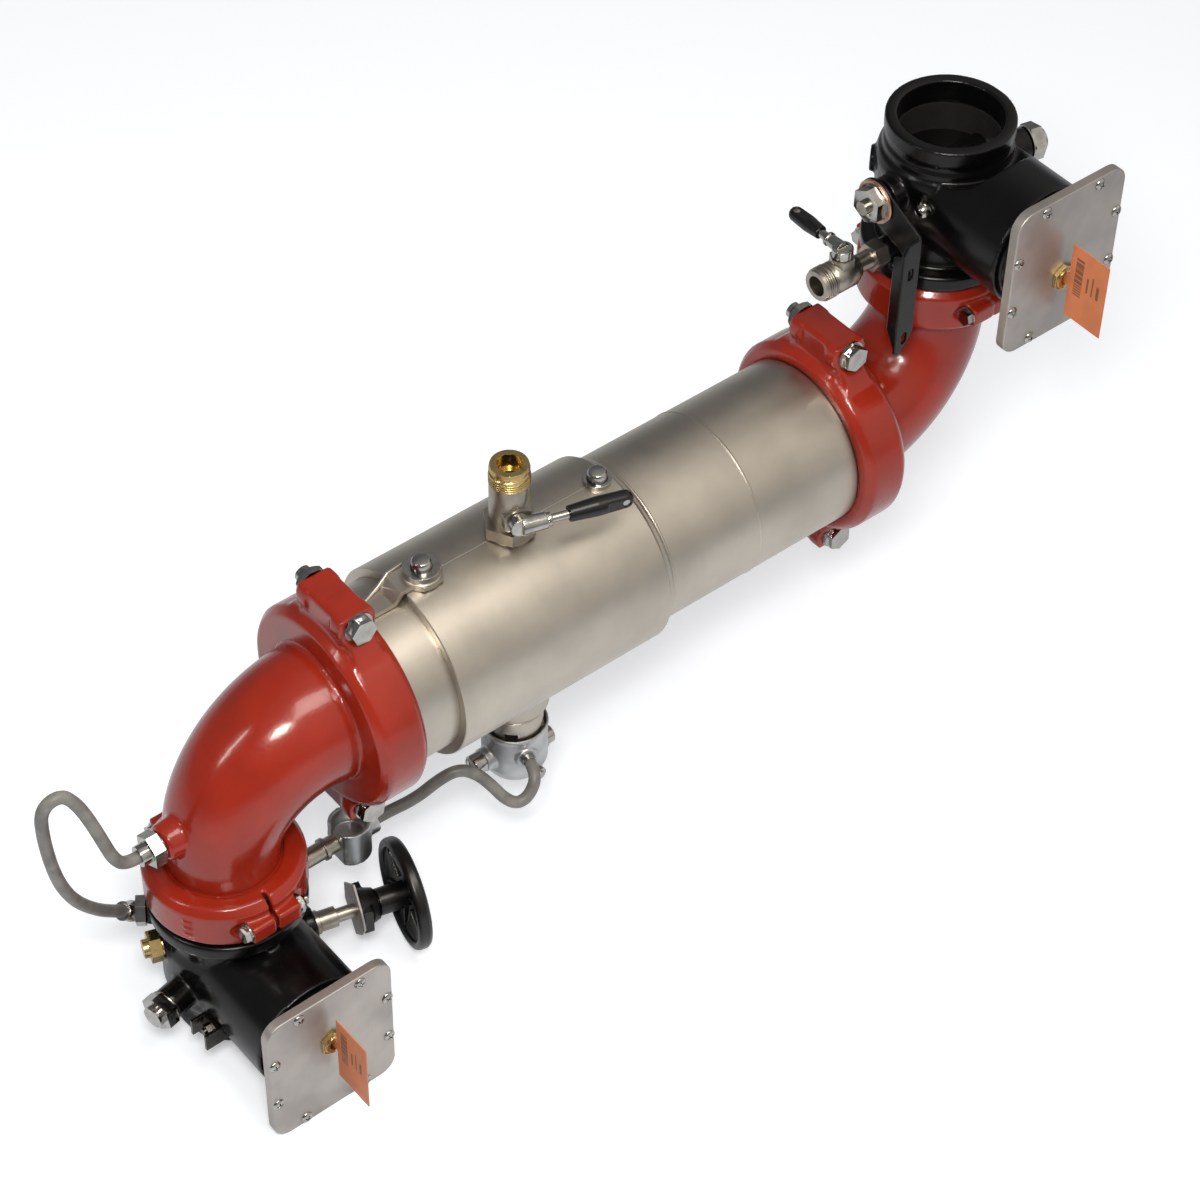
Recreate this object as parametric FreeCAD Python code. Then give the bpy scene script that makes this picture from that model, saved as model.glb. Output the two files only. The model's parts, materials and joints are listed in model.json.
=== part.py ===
"""Reduced pressure backflow assembly, Z pattern, with grooved pipe ends.

Millimetres, +Z up. The origin is the centre of the inlet end face. Water enters upwards through the
inlet shutoff valve, turns into the horizontal body, passes two check valves with a relief valve
between them, turns up again and leaves through the outlet shutoff valve.
"""
import FreeCAD, Part
import math
import os

os.makedirs("parts", exist_ok=True)

V = FreeCAD.Vector
X = V(1, 0, 0)
Y = V(0, 1, 0)
Z = V(0, 0, 1)

# Clearances
run_gap = 0.3            # between bodies that move past each other
fit_gap = 0.05           # radial, shaft in its bush
seat_gap = 0.2           # between still pieces that nest

# Overall layout
riser_spacing = 786.0    # inlet riser to outlet riser
valve_length = 167.0     # end face to end face of a shutoff valve
elbow_leg = 127.0        # elbow centre to coupling centre
pipe_gap = 2.0           # between two pipe ends in one coupling

# Pipe size of the shutoff valves, nominal 100 mm
riser_r = 57.15
riser_wall = 10.95
riser_groove_depth = 2.1

# Pipe size of the body, 159 mm outside
body_r = 79.5
body_wall = 3.5
body_groove_depth = 2.3

# Cut groove, the same on both pipe sizes
lip_length = 15.9
lip_edge = 1.0
groove_length = 8.7

# Grooved couplings
small_coupling_rise = 12.85   # housing over pipe
small_coupling_width = 46.0
small_split_gap = 3.0
small_bolt_r = 5.0
small_pad_r = 9.0
small_pad_half = 24.0
small_bolt_clear = 2.5        # bolt to gasket
large_coupling_rise = 14.5
large_coupling_width = 48.0
large_split_gap = 0.5
large_bolt_r = 8.0
large_pad_r = 11.5
large_pad_half = 30.0
large_bolt_clear = 17.5
lug_width = 32.0
lug_round = 4.0
lug_boss_r = 19.0
lug_boss_length = 13.0
key_depth_gap = 0.3
key_width = 5.0
gasket_width = 30.0
gasket_thick = 5.0

# Elbows
elbow_neck_r = 49.0
elbow_mouth_r = 62.0
elbow_wall = 6.5
elbow_bend_r = 95.0
elbow_boss_r = 13.0
elbow_boss_drop = 54.0
elbow_boss_reach = 58.5
elbow_boss_start = 20.0

# Shutoff valve casting
valve_cast_r = 60.0
flange_r = 69.0
flange_start = 23.5
flange_thick = 16.0
open_neck = 34.0         # straight open end beyond the shoulder
stem_z = 111.5
barrel_z = 99.5
barrel_r = 57.0
barrel_end = 122.0
barrel_neck_r = 51.0
barrel_cavity_r = 44.0
barrel_cavity_start = 78.0
coupling_room_gap = 3.0  # round a coupling put on the open end
liner_r = 50.0
liner_half = 32.0
disc_r = 45.6
disc_edge_half = 4.0
disc_hub_half = 41.0
stem_r = 8.0
stem_boss_r = 17.0
stem_boss_reach = 74.0
gland_wall = 3.0

# Ports of the casting: heading in plan, height, boss radius and reach
port_r = 6.5
line_tap = (180.0, 49.0, 12.0, 70.0)
side_tap = (-12.0, 107.0, 15.0, 82.0)
upper_tap = (18.4, 76.5, 14.0, 61.5)
hose_tap = (35.0, 51.5, 12.0, 70.0)
back_boss_angle = 133.0
back_boss_reach = 66.0
back_boss_r = 12.0

# Square cover of the switch housing on each valve
cover_width = 126.0
cover_height = 150.0
cover_corner_r = 17.0
cover_front = 148.0
cover_sheet = 2.5
cover_depth = 9.0
cover_flange_thick = 6.0
cover_gasket_thick = 1.5
cover_screw_edge = 7.0   # screws of the upper and lower rows, from the edge
cover_screw_side = 32.0
cover_side_edge = 5.5    # screws of the side columns
cover_side_drop = 48.5
cover_screw_r = 2.5
bush_offset = 15.0
bush_af = 23.0
bush_bore_r = 6.0
bush_thread_r = 8.5
tag_width = 42.0
tag_height = 76.0
tag_thick = 1.0
switch_width = 38.0
switch_depth = 34.0
switch_height = 30.0
switch_rise = 18.0

# Body
sleeve_thick = 8.5
sleeve_start = 191.0
sleeve_end = 421.0
sleeve_taper = 20.0
sleeve_bolt_x = (213.0, 399.0)
tap_x = 305.0
relief_x = 309.0
tap_way_r = 10.0

# Test cock on the body
cock_pad_r = 20.0
cock_pad_rise = 1.2
cock_turn = -17.0        # heading of its lever

# Relief valve under the body
relief_collar_r = 31.0
relief_collar_drop = 43.5     # under the body tube
relief_neck_r = 26.0
relief_neck_wall = 5.0
neck_spigot = 12.0
relief_rim_drop = 28.0        # cup rim under the collar
relief_cup_height = 55.0
relief_r = 30.0
relief_bore_r = 20.0
relief_seat_r = 13.0
relief_seat_rise = 7.0
relief_stem_r = 3.0

# Check valves
check_x = (232.0, 486.0)
check_plate_thick = 12.0
check_port_wall = 32.0   # seat ring, tube bore to port
clapper_overlap = 7.0
clapper_thick = 8.0
check_hinge_inset = 16.0
check_hinge_x = 11.0
check_pin_r = 4.0
ear_y = 16.0
ear_half = 4.0
arm_half = 10.0

# Handwheel on the inlet valve
wheel_turn = -15.0       # heading of its stem in plan, degrees from +X
wheel_r = 52.0
wheel_at = 160.0

# Sensing lines
hose_r = 5.0
tee_x = 127.0
tee_out = 26.0
tee_r = 19.0

inlet_coupling_z = valve_length + pipe_gap / 2
body_height = inlet_coupling_z + elbow_leg
outlet_coupling_z = body_height + elbow_leg
outlet_face_z = outlet_coupling_z + pipe_gap / 2
left_coupling_x = elbow_leg
right_coupling_x = riser_spacing - elbow_leg
body_bore_r = body_r - body_wall
body_groove_r = body_r - body_groove_depth
riser_bore_r = riser_r - riser_wall
riser_groove_r = riser_r - riser_groove_depth
small_coupling_r = riser_r + small_coupling_rise
shoulder_z = valve_length - open_neck
sleeve_r = body_r + sleeve_thick
top_z = body_height + sleeve_r
check_port_r = body_bore_r - check_port_wall
clapper_r = check_port_r + clapper_overlap
check_hinge_z = body_bore_r - check_hinge_inset
relief_collar_z = body_height - body_r - relief_collar_drop
relief_rim_z = relief_collar_z - relief_rim_drop
relief_bottom_z = relief_rim_z - relief_cup_height
relief_seat_z = relief_rim_z + relief_seat_rise


def cyl(r, length, base=V(0, 0, 0), along=Z):
    return Part.makeCylinder(r, length, base, along)


def ring(outer, inner, length, base=V(0, 0, 0), along=Z):
    return cyl(outer, length, base, along).cut(cyl(inner, length, base, along))


def cone(r1, r2, length, base=V(0, 0, 0), along=Z):
    return Part.makeCone(r1, r2, length, base, along)


def block(cx, cy, cz, sx, sy, sz):
    return Part.makeBox(sx, sy, sz, V(cx - sx / 2, cy - sy / 2, cz - sz / 2))


def prism(points, along):
    wire = Part.makePolygon(points + [points[0]])
    return Part.Face(wire).extrude(along)


def hexagon(across_flats, length, base=V(0, 0, 0), along=Z, turn=0.0):
    corner = across_flats / math.sqrt(3)
    points = []
    for i in range(6):
        a = math.radians(60 * i + turn)
        points.append(V(corner * math.cos(a), corner * math.sin(a), 0))
    shape = prism(points, V(0, 0, length))
    trim = cone(corner * 1.02 + length, corner * 0.9, length + corner * 0.12)
    shape = shape.common(trim.common(cyl(corner * 1.01, length)))
    return place(shape, base, along)


def place(shape, base, along):
    """Turn a shape made along +Z so that it points along another direction, and move it."""
    turned = shape.copy()
    turned.Placement = FreeCAD.Placement(base, FreeCAD.Rotation(Z, along)).multiply(shape.Placement)
    return turned


def revolve(points, base=V(0, 0, 0), along=Z):
    """Solid of revolution from radius and height pairs about +Z, then placed."""
    wire = Part.makePolygon([V(r, 0, h) for r, h in points] + [V(points[0][0], 0, points[0][1])])
    solid = Part.Face(wire).revolve(V(0, 0, 0), Z, 360)
    return place(solid, base, along)


def fuse(shapes):
    whole = shapes[0]
    if len(shapes) > 1:
        whole = shapes[0].multiFuse(shapes[1:])
    return whole.removeSplitter()


def cut(shape, tools):
    return shape.cut(tools)


def rounded_plate(width, height, corner, thick, front):
    """Upright plate in the XZ plane with round corners, its front face at y = front."""
    plate = block(0, front + thick / 2, 0, width, thick, height)
    edges = [e for e in plate.Edges if abs(e.Vertexes[0].Point.y - e.Vertexes[1].Point.y) > thick / 2]
    return plate.makeFillet(corner, edges)


def heading(angle):
    return V(math.cos(math.radians(angle)), math.sin(math.radians(angle)), 0)


def moved(shape, vector):
    copy = shape.copy()
    copy.translate(vector)
    return copy


def turned_over(shape):
    """The inlet valve is the outlet valve turned half round about Y and lowered to the inlet."""
    copy = shape.copy()
    copy.rotate(V(0, 0, 0), Y, 180)
    copy.translate(V(0, 0, valve_length))
    return copy


def at_outlet(shape):
    return moved(shape, V(riser_spacing, 0, outlet_face_z))


def along_route(points):
    """Straight runs joined by tangent arcs, each as large as its two runs allow."""
    edges = []
    radii = []
    start = points[0]
    for before, corner, after in zip(points, points[1:], points[2:]):
        inward = (corner - before).normalize()
        outward = (after - corner).normalize()
        turn = inward.getAngle(outward)
        reach = 0.45 * min((corner - before).Length, (after - corner).Length)
        radii.append(reach / math.tan(turn / 2))
        first = corner - inward * reach
        last = corner + outward * reach
        middle_way = (outward - inward).normalize()
        middle = corner + middle_way * (radii[-1] / math.cos(turn / 2) - radii[-1])
        edges.append(Part.LineSegment(start, first).toShape())
        edges.append(Part.Arc(first, middle, last).toShape())
        start = last
    edges.append(Part.LineSegment(start, points[-1]).toShape())
    return Part.Wire(edges), radii


def tube_along(name, points, radius):
    path, radii = along_route(points)
    profile = Part.Wire([Part.makeCircle(radius, points[0], points[1] - points[0])])
    tube = path.makePipeShell([profile], True, False)
    expected = math.pi * radius * radius * path.Length
    print("%s length %.1f, radii %s, volume ratio %.4f" % (
        name, path.Length, " ".join("%.0f" % r for r in radii), tube.Volume / expected))
    return tube


def save(name, shapes):
    if not isinstance(shapes, (list, tuple)):
        shapes = [shapes]
    solids = []
    for shape in shapes:
        solids.extend(shape.Solids)
    out = solids[0] if len(solids) == 1 else Part.makeCompound(solids)
    out.exportStep("parts/%s.step" % name)


def grooved_end(outer, groove, base, along):
    """Cutter for the groove of a pipe end whose face is at base, with along pointing into the pipe."""
    start = base + along * lip_length
    return ring(outer + 1, groove, groove_length, start, along)


# Shutoff valves

cover_screw_x = cover_width / 2 - cover_screw_side
cover_screw_z = cover_height / 2 - cover_screw_edge
cover_side_x = cover_width / 2 - cover_side_edge
cover_side_z = cover_height / 2 - cover_side_drop
cover_screw_places = [(sx * cover_screw_x, sz * cover_screw_z) for sx in (-1, 1) for sz in (-1, 1)]
cover_screw_places += [(sx * cover_side_x, sz * cover_side_z) for sx in (-1, 1) for sz in (-1, 1)]
flange_front = cover_front - cover_sheet - cover_gasket_thick
cover_rim_inside = cover_depth - cover_sheet
switch_flange_width = cover_width - 2 * cover_sheet - 2 * run_gap
switch_flange_height = cover_height - 2 * cover_sheet - 2 * run_gap


def valve_casting(stem_angle):
    """One casting serves both valves: pipe run, side barrel for the switch, and bosses for ports."""
    room_r = small_coupling_r + coupling_room_gap
    room_foot = shoulder_z + 2
    run = revolve([(0, 0), (riser_r, 0), (riser_r, flange_start), (flange_r - 2, flange_start),
                   (flange_r, flange_start + 2), (flange_r, flange_start + flange_thick - 2),
                   (flange_r - 2, flange_start + flange_thick),
                   (valve_cast_r - 4, flange_start + flange_thick + 1),
                   (valve_cast_r - 4, stem_z - 45.5), (valve_cast_r, stem_z - 35.5),
                   (valve_cast_r + 2, shoulder_z - 8), (valve_cast_r, shoulder_z), (riser_r, room_foot),
                   (riser_r, valve_length - lip_edge),
                   (riser_r - lip_edge, valve_length), (0, valve_length)])
    barrel_at = V(0, 0, barrel_z)
    room = revolve([(0, room_foot), (valve_cast_r + 2, room_foot),
                    (room_r, valve_length - small_coupling_width / 2), (room_r, valve_length + 1),
                    (0, valve_length + 1)])
    barrel = cut(fuse([cyl(barrel_r, barrel_end, barrel_at, -Y),
                       cyl(barrel_neck_r, flange_front - 2, barrel_at, -Y)]), [room])
    flange = rounded_plate(switch_flange_width, switch_flange_height, cover_corner_r - cover_sheet,
                           cover_flange_thick, -flange_front)
    flange = moved(flange, barrel_at)
    solid = [run, barrel, flange]
    holes = [cyl(riser_bore_r, valve_length + 2, V(0, 0, -1)),
             cyl(liner_r, 2 * liner_half, V(0, 0, stem_z - liner_half)),
             cyl(barrel_cavity_r, flange_front - barrel_cavity_start + 1,
                 V(0, -barrel_cavity_start, barrel_z), -Y)]
    stem_way = heading(stem_angle)
    solid.append(cyl(stem_boss_r, stem_boss_reach, V(0, 0, stem_z), stem_way))
    holes.append(cyl(stem_r + gland_wall + seat_gap, stem_boss_reach + 1, V(0, 0, stem_z), stem_way))
    holes.append(cyl(stem_r + fit_gap, stem_blind + 2, V(0, 0, stem_z), -stem_way))
    for angle, height, boss_r, reach in (line_tap, side_tap, upper_tap, hose_tap):
        way = heading(angle)
        solid.append(cyl(boss_r, reach, V(0, 0, height), way))
        holes.append(cyl(port_r, reach + 1, V(0, 0, height), way))
    solid.append(cyl(back_boss_r, back_boss_reach, V(0, 0, stem_z), heading(back_boss_angle)))
    for sx, sz in cover_screw_places:
        holes.append(cyl(cover_screw_r, 8.0, V(sx, -flange_front - 1, barrel_z + sz), Y))
    holes.append(grooved_end(riser_r, riser_groove_r, V(0, 0, 0), Z))
    holes.append(grooved_end(riser_r, riser_groove_r, V(0, 0, valve_length), -Z))
    return cut(fuse(solid), holes)


def seat_liner(stem_angle):
    liner = ring(liner_r - seat_gap, riser_bore_r - 0.3, 2 * liner_half - 2 * seat_gap,
                 V(0, 0, stem_z - liner_half + seat_gap))
    way = heading(stem_angle)
    return cut(liner, [cyl(stem_r + run_gap, 120.0, V(0, 0, stem_z) - way * 60, way)])


def closing_disc(stem_angle):
    """Round-edged disc, closed at rest, with a raised hub along the stem."""
    ball = Part.makeSphere(disc_r, V(0, 0, stem_z))
    web = ball.common(cyl(disc_r + 1, 2 * disc_edge_half, V(0, 0, stem_z - disc_edge_half)))
    way = heading(stem_angle)
    hub = cyl(stem_r + 5, 2 * disc_hub_half, V(0, 0, stem_z) - way * disc_hub_half, way)
    disc = fuse([web, hub.common(ball)])
    return cut(disc, [cyl(stem_r, 100.0, V(0, 0, stem_z) - way * 50, way)])


def stem_gland():
    """Bearing bush and gland ring of the stem, made along +X from the valve axis."""
    start = liner_r + 1
    length = stem_boss_reach + gland_proud - start
    return ring(stem_r + gland_wall, stem_r + fit_gap, length, V(start, 0, 0), X)


def pointed(shape, stem_angle):
    """A piece made along +X on the stem line, turned to the stem's own heading."""
    copy = shape.copy()
    copy.rotate(V(0, 0, 0), Z, stem_angle)
    copy.translate(V(0, 0, stem_z))
    return copy


def cover_plate():
    """Pan-shaped cover whose rim wraps the square flange."""
    outer = rounded_plate(cover_width, cover_height, cover_corner_r, cover_depth, -cover_front)
    front_edges = [e for e in outer.Edges if all(abs(v.Point.y + cover_front) < 0.01 for v in e.Vertexes)]
    outer = outer.makeFillet(1.5, front_edges)
    inner = rounded_plate(cover_width - 2 * cover_sheet, cover_height - 2 * cover_sheet,
                          cover_corner_r - cover_sheet, cover_rim_inside + 1,
                          -cover_front + cover_sheet)
    holes = [cyl(cover_screw_r, 8.0, V(sx, -cover_front - 1, sz), Y) for sx, sz in cover_screw_places]
    holes.append(cyl(bush_thread_r, 8.0, V(0, -cover_front - 1, -bush_offset), Y))
    return moved(cut(outer, [inner] + holes), V(0, 0, barrel_z))


def cover_gasket():
    gasket = rounded_plate(switch_flange_width, switch_flange_height, cover_corner_r - cover_sheet,
                           cover_gasket_thick, -cover_front + cover_sheet)
    holes = [cyl(cover_screw_r, 4.0, V(sx, -cover_front, sz), Y) for sx, sz in cover_screw_places]
    holes.append(cyl(barrel_cavity_r, 8.0, V(0, -cover_front, 0), Y))
    return moved(cut(gasket, holes), V(0, 0, barrel_z))


def cover_screw(sx, sz):
    head = revolve([(0, 0), (4.6, 0), (4.2, 1.6), (2.6, 2.6), (0, 2.9)])
    slots = [block(0, 0, 2.6, 4.6, 0.9, 1.6), block(0, 0, 2.6, 0.9, 4.6, 1.6)]
    head = place(cut(head, slots), V(sx, -cover_front, barrel_z + sz), -Y)
    shank = cyl(cover_screw_r, 7.0, V(sx, -cover_front, barrel_z + sz), Y)
    return fuse([head, shank])


def cable_bush():
    at = V(0, -cover_front, barrel_z - bush_offset)
    body = fuse([hexagon(bush_af, 4.0, at, -Y, 30), cyl(bush_thread_r + 1.1, 5.5, at, -Y),
                 cyl(bush_thread_r, 14.0, at, Y)])
    nut = hexagon(bush_af, 4.0, at + Y * (cover_sheet), Y, 30)
    return cut(fuse([body, nut]), [cyl(bush_bore_r, 24.0, at - Y * 8, Y)])


def hanging_tag():
    """Blank card held by its tongue in the bush, edge on to the cover."""
    out = cover_front + 8.0
    card_top = barrel_z - bush_offset + tag_height * 0.52
    card = block(0, -out - tag_width / 2, card_top - tag_height / 2, tag_thick, tag_width, tag_height)
    tongue_half = bush_bore_r - fit_gap
    tongue = block(0, -cover_front + 1, barrel_z - bush_offset, tag_thick, 22.0, 2 * tongue_half - 0.1)
    return fuse([card, tongue])


def port_plug(tap, af, head, tip_r):
    """Hex plug with a collar and a stepped tip, screwed into a tapped port."""
    angle, height, boss_r, reach = tap
    way = heading(angle)
    seat = V(0, 0, height) + way * reach
    return fuse([cyl(af * 0.53, 1.5, seat, way), hexagon(af, head, seat + way * 1.5, way),
                 cyl(tip_r, 5.0, seat + way * (1.5 + head), way), cyl(port_r - fit_gap, 10.0, seat, -way)])


stem_blind = 54.0
gland_proud = 4.0
inlet_stem_angle = 180.0 - wheel_turn
outlet_stem_angle = 180.0

outlet_casting = at_outlet(valve_casting(outlet_stem_angle))
save("inlet_valve_body", turned_over(valve_casting(inlet_stem_angle)))
save("outlet_valve_body", outlet_casting)
save("seat_liners", [turned_over(seat_liner(inlet_stem_angle)), at_outlet(seat_liner(outlet_stem_angle))])
save("inlet_disc", turned_over(closing_disc(inlet_stem_angle)))
save("outlet_disc", at_outlet(closing_disc(outlet_stem_angle)))
save("stem_glands", [turned_over(pointed(stem_gland(), inlet_stem_angle)),
                     at_outlet(pointed(stem_gland(), outlet_stem_angle))])
save("cover_plates", [turned_over(cover_plate()), at_outlet(cover_plate())])
save("cover_gaskets", [turned_over(cover_gasket()), at_outlet(cover_gasket())])
screws = [cover_screw(sx, sz) for sx, sz in cover_screw_places]
save("cover_screws", [turned_over(s) for s in screws] + [at_outlet(s) for s in screws])
save("cable_bushes", [turned_over(cable_bush()), at_outlet(cable_bush())])
save("tags", [turned_over(hanging_tag()), at_outlet(hanging_tag())])
save("inlet_brass_plug", turned_over(port_plug(upper_tap, 25.0, 10.0, 8.5)))

# Inlet stem, flag, collar and handwheel, made along +X and turned to the stem's heading

flag_at = 112.0
flag_thick = 1.6
flag_half_height = 34.0
flag_half_width = 25.0
collar_start = flag_at + flag_thick
collar_end = 132.0
hub_r = 12.5
tail_r = stem_r - 1.5


def on_inlet_stem(shape):
    return turned_over(pointed(shape, inlet_stem_angle))


gland_face = stem_boss_reach + gland_proud
inlet_stem = fuse([cyl(stem_r, gland_face + 16 + stem_blind, V(-stem_blind, 0, 0), X),
                   cyl(stem_r + 1.5, 16.0, V(gland_face + 0.5, 0, 0), X),
                   cyl(tail_r, wheel_at + 10 - gland_face, V(gland_face, 0, 0), X)])
save("inlet_stem", on_inlet_stem(inlet_stem))
flag_outline = [V(flag_at, 0, flag_half_height), V(flag_at, flag_half_width * 0.7, flag_half_height * 0.45),
                V(flag_at, flag_half_width, 0), V(flag_at, flag_half_width * 0.7, -flag_half_height * 0.45),
                V(flag_at, 0, -flag_half_height), V(flag_at, -flag_half_width, -flag_half_height * 0.3),
                V(flag_at, -flag_half_width, flag_half_height * 0.3)]
flag = cut(prism(flag_outline, V(flag_thick, 0, 0)), [cyl(tail_r, 10.0, V(flag_at - 4, 0, 0), X)])
save("position_flag", on_inlet_stem(flag))
collar = cut(fuse([cone(20.0, 14.5, collar_end - collar_start, V(collar_start, 0, 0), X),
                   block(collar_start + 5.0, 0, 0, 10.0, 38.0, 27.0)]),
             [cyl(tail_r, 40.0, V(collar_start - 4, 0, 0), X)])
save("wheel_collar", on_inlet_stem(collar))


def handwheel():
    """Dished wheel of one moulding: round rim, thin web, long hub and radial ribs on the hub side."""
    rim = revolve([(wheel_r - 8, -5), (wheel_r - 5, -7), (wheel_r - 1.5, -6), (wheel_r, -3), (wheel_r, 3),
                   (wheel_r - 2, 6), (wheel_r - 6, 7), (wheel_r - 8, 5)])
    dish = revolve([(tail_r, 4), (hub_r + 6, 4), (wheel_r - 14, 1), (wheel_r - 7, -2), (wheel_r - 7, 2),
                    (wheel_r - 14, 4), (hub_r + 4, 7.5), (tail_r, 8)])
    hub = ring(hub_r, tail_r, wheel_at + 6 - collar_end - 1, V(0, 0, collar_end + 1 - wheel_at))
    ribs = []
    for i in range(6):
        rib = block((hub_r + wheel_r) / 2, 0, 0.5, wheel_r - hub_r - 6, 2.4, 6.0)
        rib.rotate(V(0, 0, 0), Z, 60 * i)
        ribs.append(rib)
    return place(fuse([rim, dish, hub] + ribs), V(wheel_at, 0, 0), X)


save("handwheel", on_inlet_stem(handwheel()))

# Locking clip beside the inlet valve's port boss

clip_way = V(-1, 0, 0)
clip_at = V(-59.0, -52.0, valve_length - 119.0)
clip_foot = block(clip_at.x + 3.5, clip_at.y, clip_at.z, 9.0, 24.0, 18.0)
clip_ears = [block(clip_at.x - 7, clip_at.y + dy, clip_at.z, 13.0, 3.0, 18.0) for dy in (-10.5, 10.5)]
clip_body = fuse([clip_foot] + clip_ears)
barrel_cutter = cyl(barrel_r + seat_gap, 200.0, V(0, 0, valve_length - barrel_z), -Y)
run_cutter = cyl(valve_cast_r + 2 + seat_gap, 200.0, V(0, 0, -10))
clip_body = cut(clip_body, [barrel_cutter, run_cutter])
clip_bolt = fuse([hexagon(10.0, 5.0, clip_at + clip_way, clip_way),
                  cyl(3.5, 3.0, clip_at + clip_way * 6, clip_way)])
save("lock_clip", [clip_body, clip_bolt])

# Outlet stem and blade lever

lever_plate_at = gland_face + 0.5
lever_thick = 3.0
lever_hub_r = 21.0
blade_out = 56.0
blade_top = 14.0
blade_bottom = 132.0
blade_width = 20.0
blade_flange = 13.0
lever_slot_r = 3.0
lever_slot_drops = (38.0, 110.0)
nut_washer_r = 18.0
nut_washer_thick = 2.6
nut_af = 29.0
nut_height = 10.0


def on_outlet_stem(shape):
    return at_outlet(pointed(shape, 0.0))


outlet_stem = fuse([cyl(stem_r, gland_face + stem_blind, V(stem_blind, 0, 0), -X),
                    cyl(tail_r, lever_thick + nut_washer_thick + nut_height + 5.5, V(-gland_face, 0, 0), -X)])
save("outlet_stem", on_outlet_stem(outlet_stem))


def blade_lever():
    """Stamped lever: a web on the stem, folded into a long blade that hangs beside the barrel."""
    inner = -lever_plate_at
    left = inner - blade_width
    shoulder = -blade_out + 22
    web = fuse([cyl(lever_hub_r, lever_thick, V(inner, 0, 0), -X),
                prism([V(inner, -4, lever_hub_r - 1), V(inner, -blade_out, -blade_top + 8),
                       V(inner, -blade_out, -blade_bottom * 0.42), V(inner, shoulder, -34),
                       V(inner, 10, -lever_hub_r + 3)], V(-lever_thick, 0, 0))])
    face = prism([V(inner, -blade_out, -blade_top + 8), V(inner, -blade_out, -blade_bottom + 24),
                  V(inner - 3, -blade_out, -blade_bottom + 17), V(left + 4, -blade_out, -blade_bottom),
                  V(left, -blade_out, -blade_bottom + 4), V(left, -blade_out, -blade_top - 4),
                  V(left + 5, -blade_out, -blade_top + 6)], V(0, lever_thick, 0))
    flange = prism([V(left, -blade_out, -blade_top - 4), V(left, -blade_out + blade_flange, -blade_top - 12),
                    V(left, -blade_out + blade_flange, -blade_bottom + 26),
                    V(left, -blade_out, -blade_bottom + 4)], V(lever_thick, 0, 0))
    holes = [cyl(tail_r, 12.0, V(inner + 4, 0, 0), -X)]
    middle = inner - blade_width / 2
    for drop in lever_slot_drops:
        slot = [cyl(lever_slot_r, 10.0, V(middle, -blade_out - 3, -drop - end), Y) for end in (0, 7)]
        slot.append(block(middle, -blade_out + 2, -drop - 3.5, 2 * lever_slot_r, 10.0, 7.0))
        holes.append(fuse(slot))
    return cut(fuse([web, face, flange]), holes)


save("outlet_lever", on_outlet_stem(blade_lever()))
nut_base = V(-lever_plate_at - lever_thick, 0, 0)
lever_nut = cut(fuse([cyl(nut_washer_r, nut_washer_thick, nut_base, -X),
                      hexagon(nut_af, nut_height, nut_base - X * nut_washer_thick, -X)]),
                [cyl(tail_r, 30.0, nut_base + X, -X)])
save("lever_nut", on_outlet_stem(lever_nut))
dome_way = heading(210.0)
dome_r = 7.0
dome_at = V(riser_spacing, 0, outlet_face_z + stem_z) + dome_way * (valve_cast_r - 2)
dome_boss = fuse([cyl(dome_r + 1, 10.0, dome_at, dome_way), Part.makeSphere(dome_r, dome_at + dome_way * 10)])
dome_boss = cut(dome_boss, [outlet_casting])

save("zinc_plugs", [turned_over(port_plug(side_tap, 30.0, 11.0, 10.0)),
                    at_outlet(port_plug(side_tap, 30.0, 11.0, 10.0)),
                    at_outlet(port_plug(upper_tap, 25.0, 10.0, 8.5)),
                    at_outlet(port_plug(hose_tap, 24.0, 8.0, 6.0)), dome_boss])

# Grooved couplings: two housings each, drawn together by two bolts across the split


class Coupling:
    """Sizes of one grooved coupling; its pads lie at the ends of the +Y and -Y radii."""

    def __init__(self, pipe, groove, rise, width, bolt_r, pad_r, pad_half, bolt_clear, split_gap):
        self.pipe = pipe
        self.groove = groove
        self.outer = pipe + rise
        self.half_width = width / 2
        self.bolt_r = bolt_r
        self.pad_r = pad_r
        self.pad_half = pad_half
        self.reach = pipe + gasket_thick + bolt_r + bolt_clear
        self.split_gap = split_gap


small = Coupling(riser_r, riser_groove_r, small_coupling_rise, small_coupling_width, small_bolt_r,
                 small_pad_r, small_pad_half, small_bolt_clear, small_split_gap)
large = Coupling(body_r, body_groove_r, large_coupling_rise, large_coupling_width, large_bolt_r,
                 large_pad_r, large_pad_half, large_bolt_clear, large_split_gap)


def coupling_shell(c):
    """Channel section turned round the pipe: two keys in the grooves and a pocket for the gasket."""
    half = c.half_width
    key = c.groove + key_depth_gap
    pocket = c.pipe + gasket_thick
    return revolve([(key, -half), (c.outer - 6, -half), (c.outer, -half + 7), (c.outer, half - 7),
                    (c.outer - 6, half), (key, half), (key, half - key_width), (pocket, half - key_width),
                    (pocket, -half + key_width), (key, -half + key_width)])


def small_pads(c):
    pads = []
    for end in (-1, 1):
        pad = block(0, end * c.reach, 0, 2 * c.pad_half, 2 * c.pad_r, 2 * c.pad_r)
        long_edges = [e for e in pad.Edges if abs(e.Vertexes[0].Point.x - e.Vertexes[1].Point.x) > c.pad_half]
        pads.append(pad.makeFillet(3.0, long_edges))
    return pads


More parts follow.
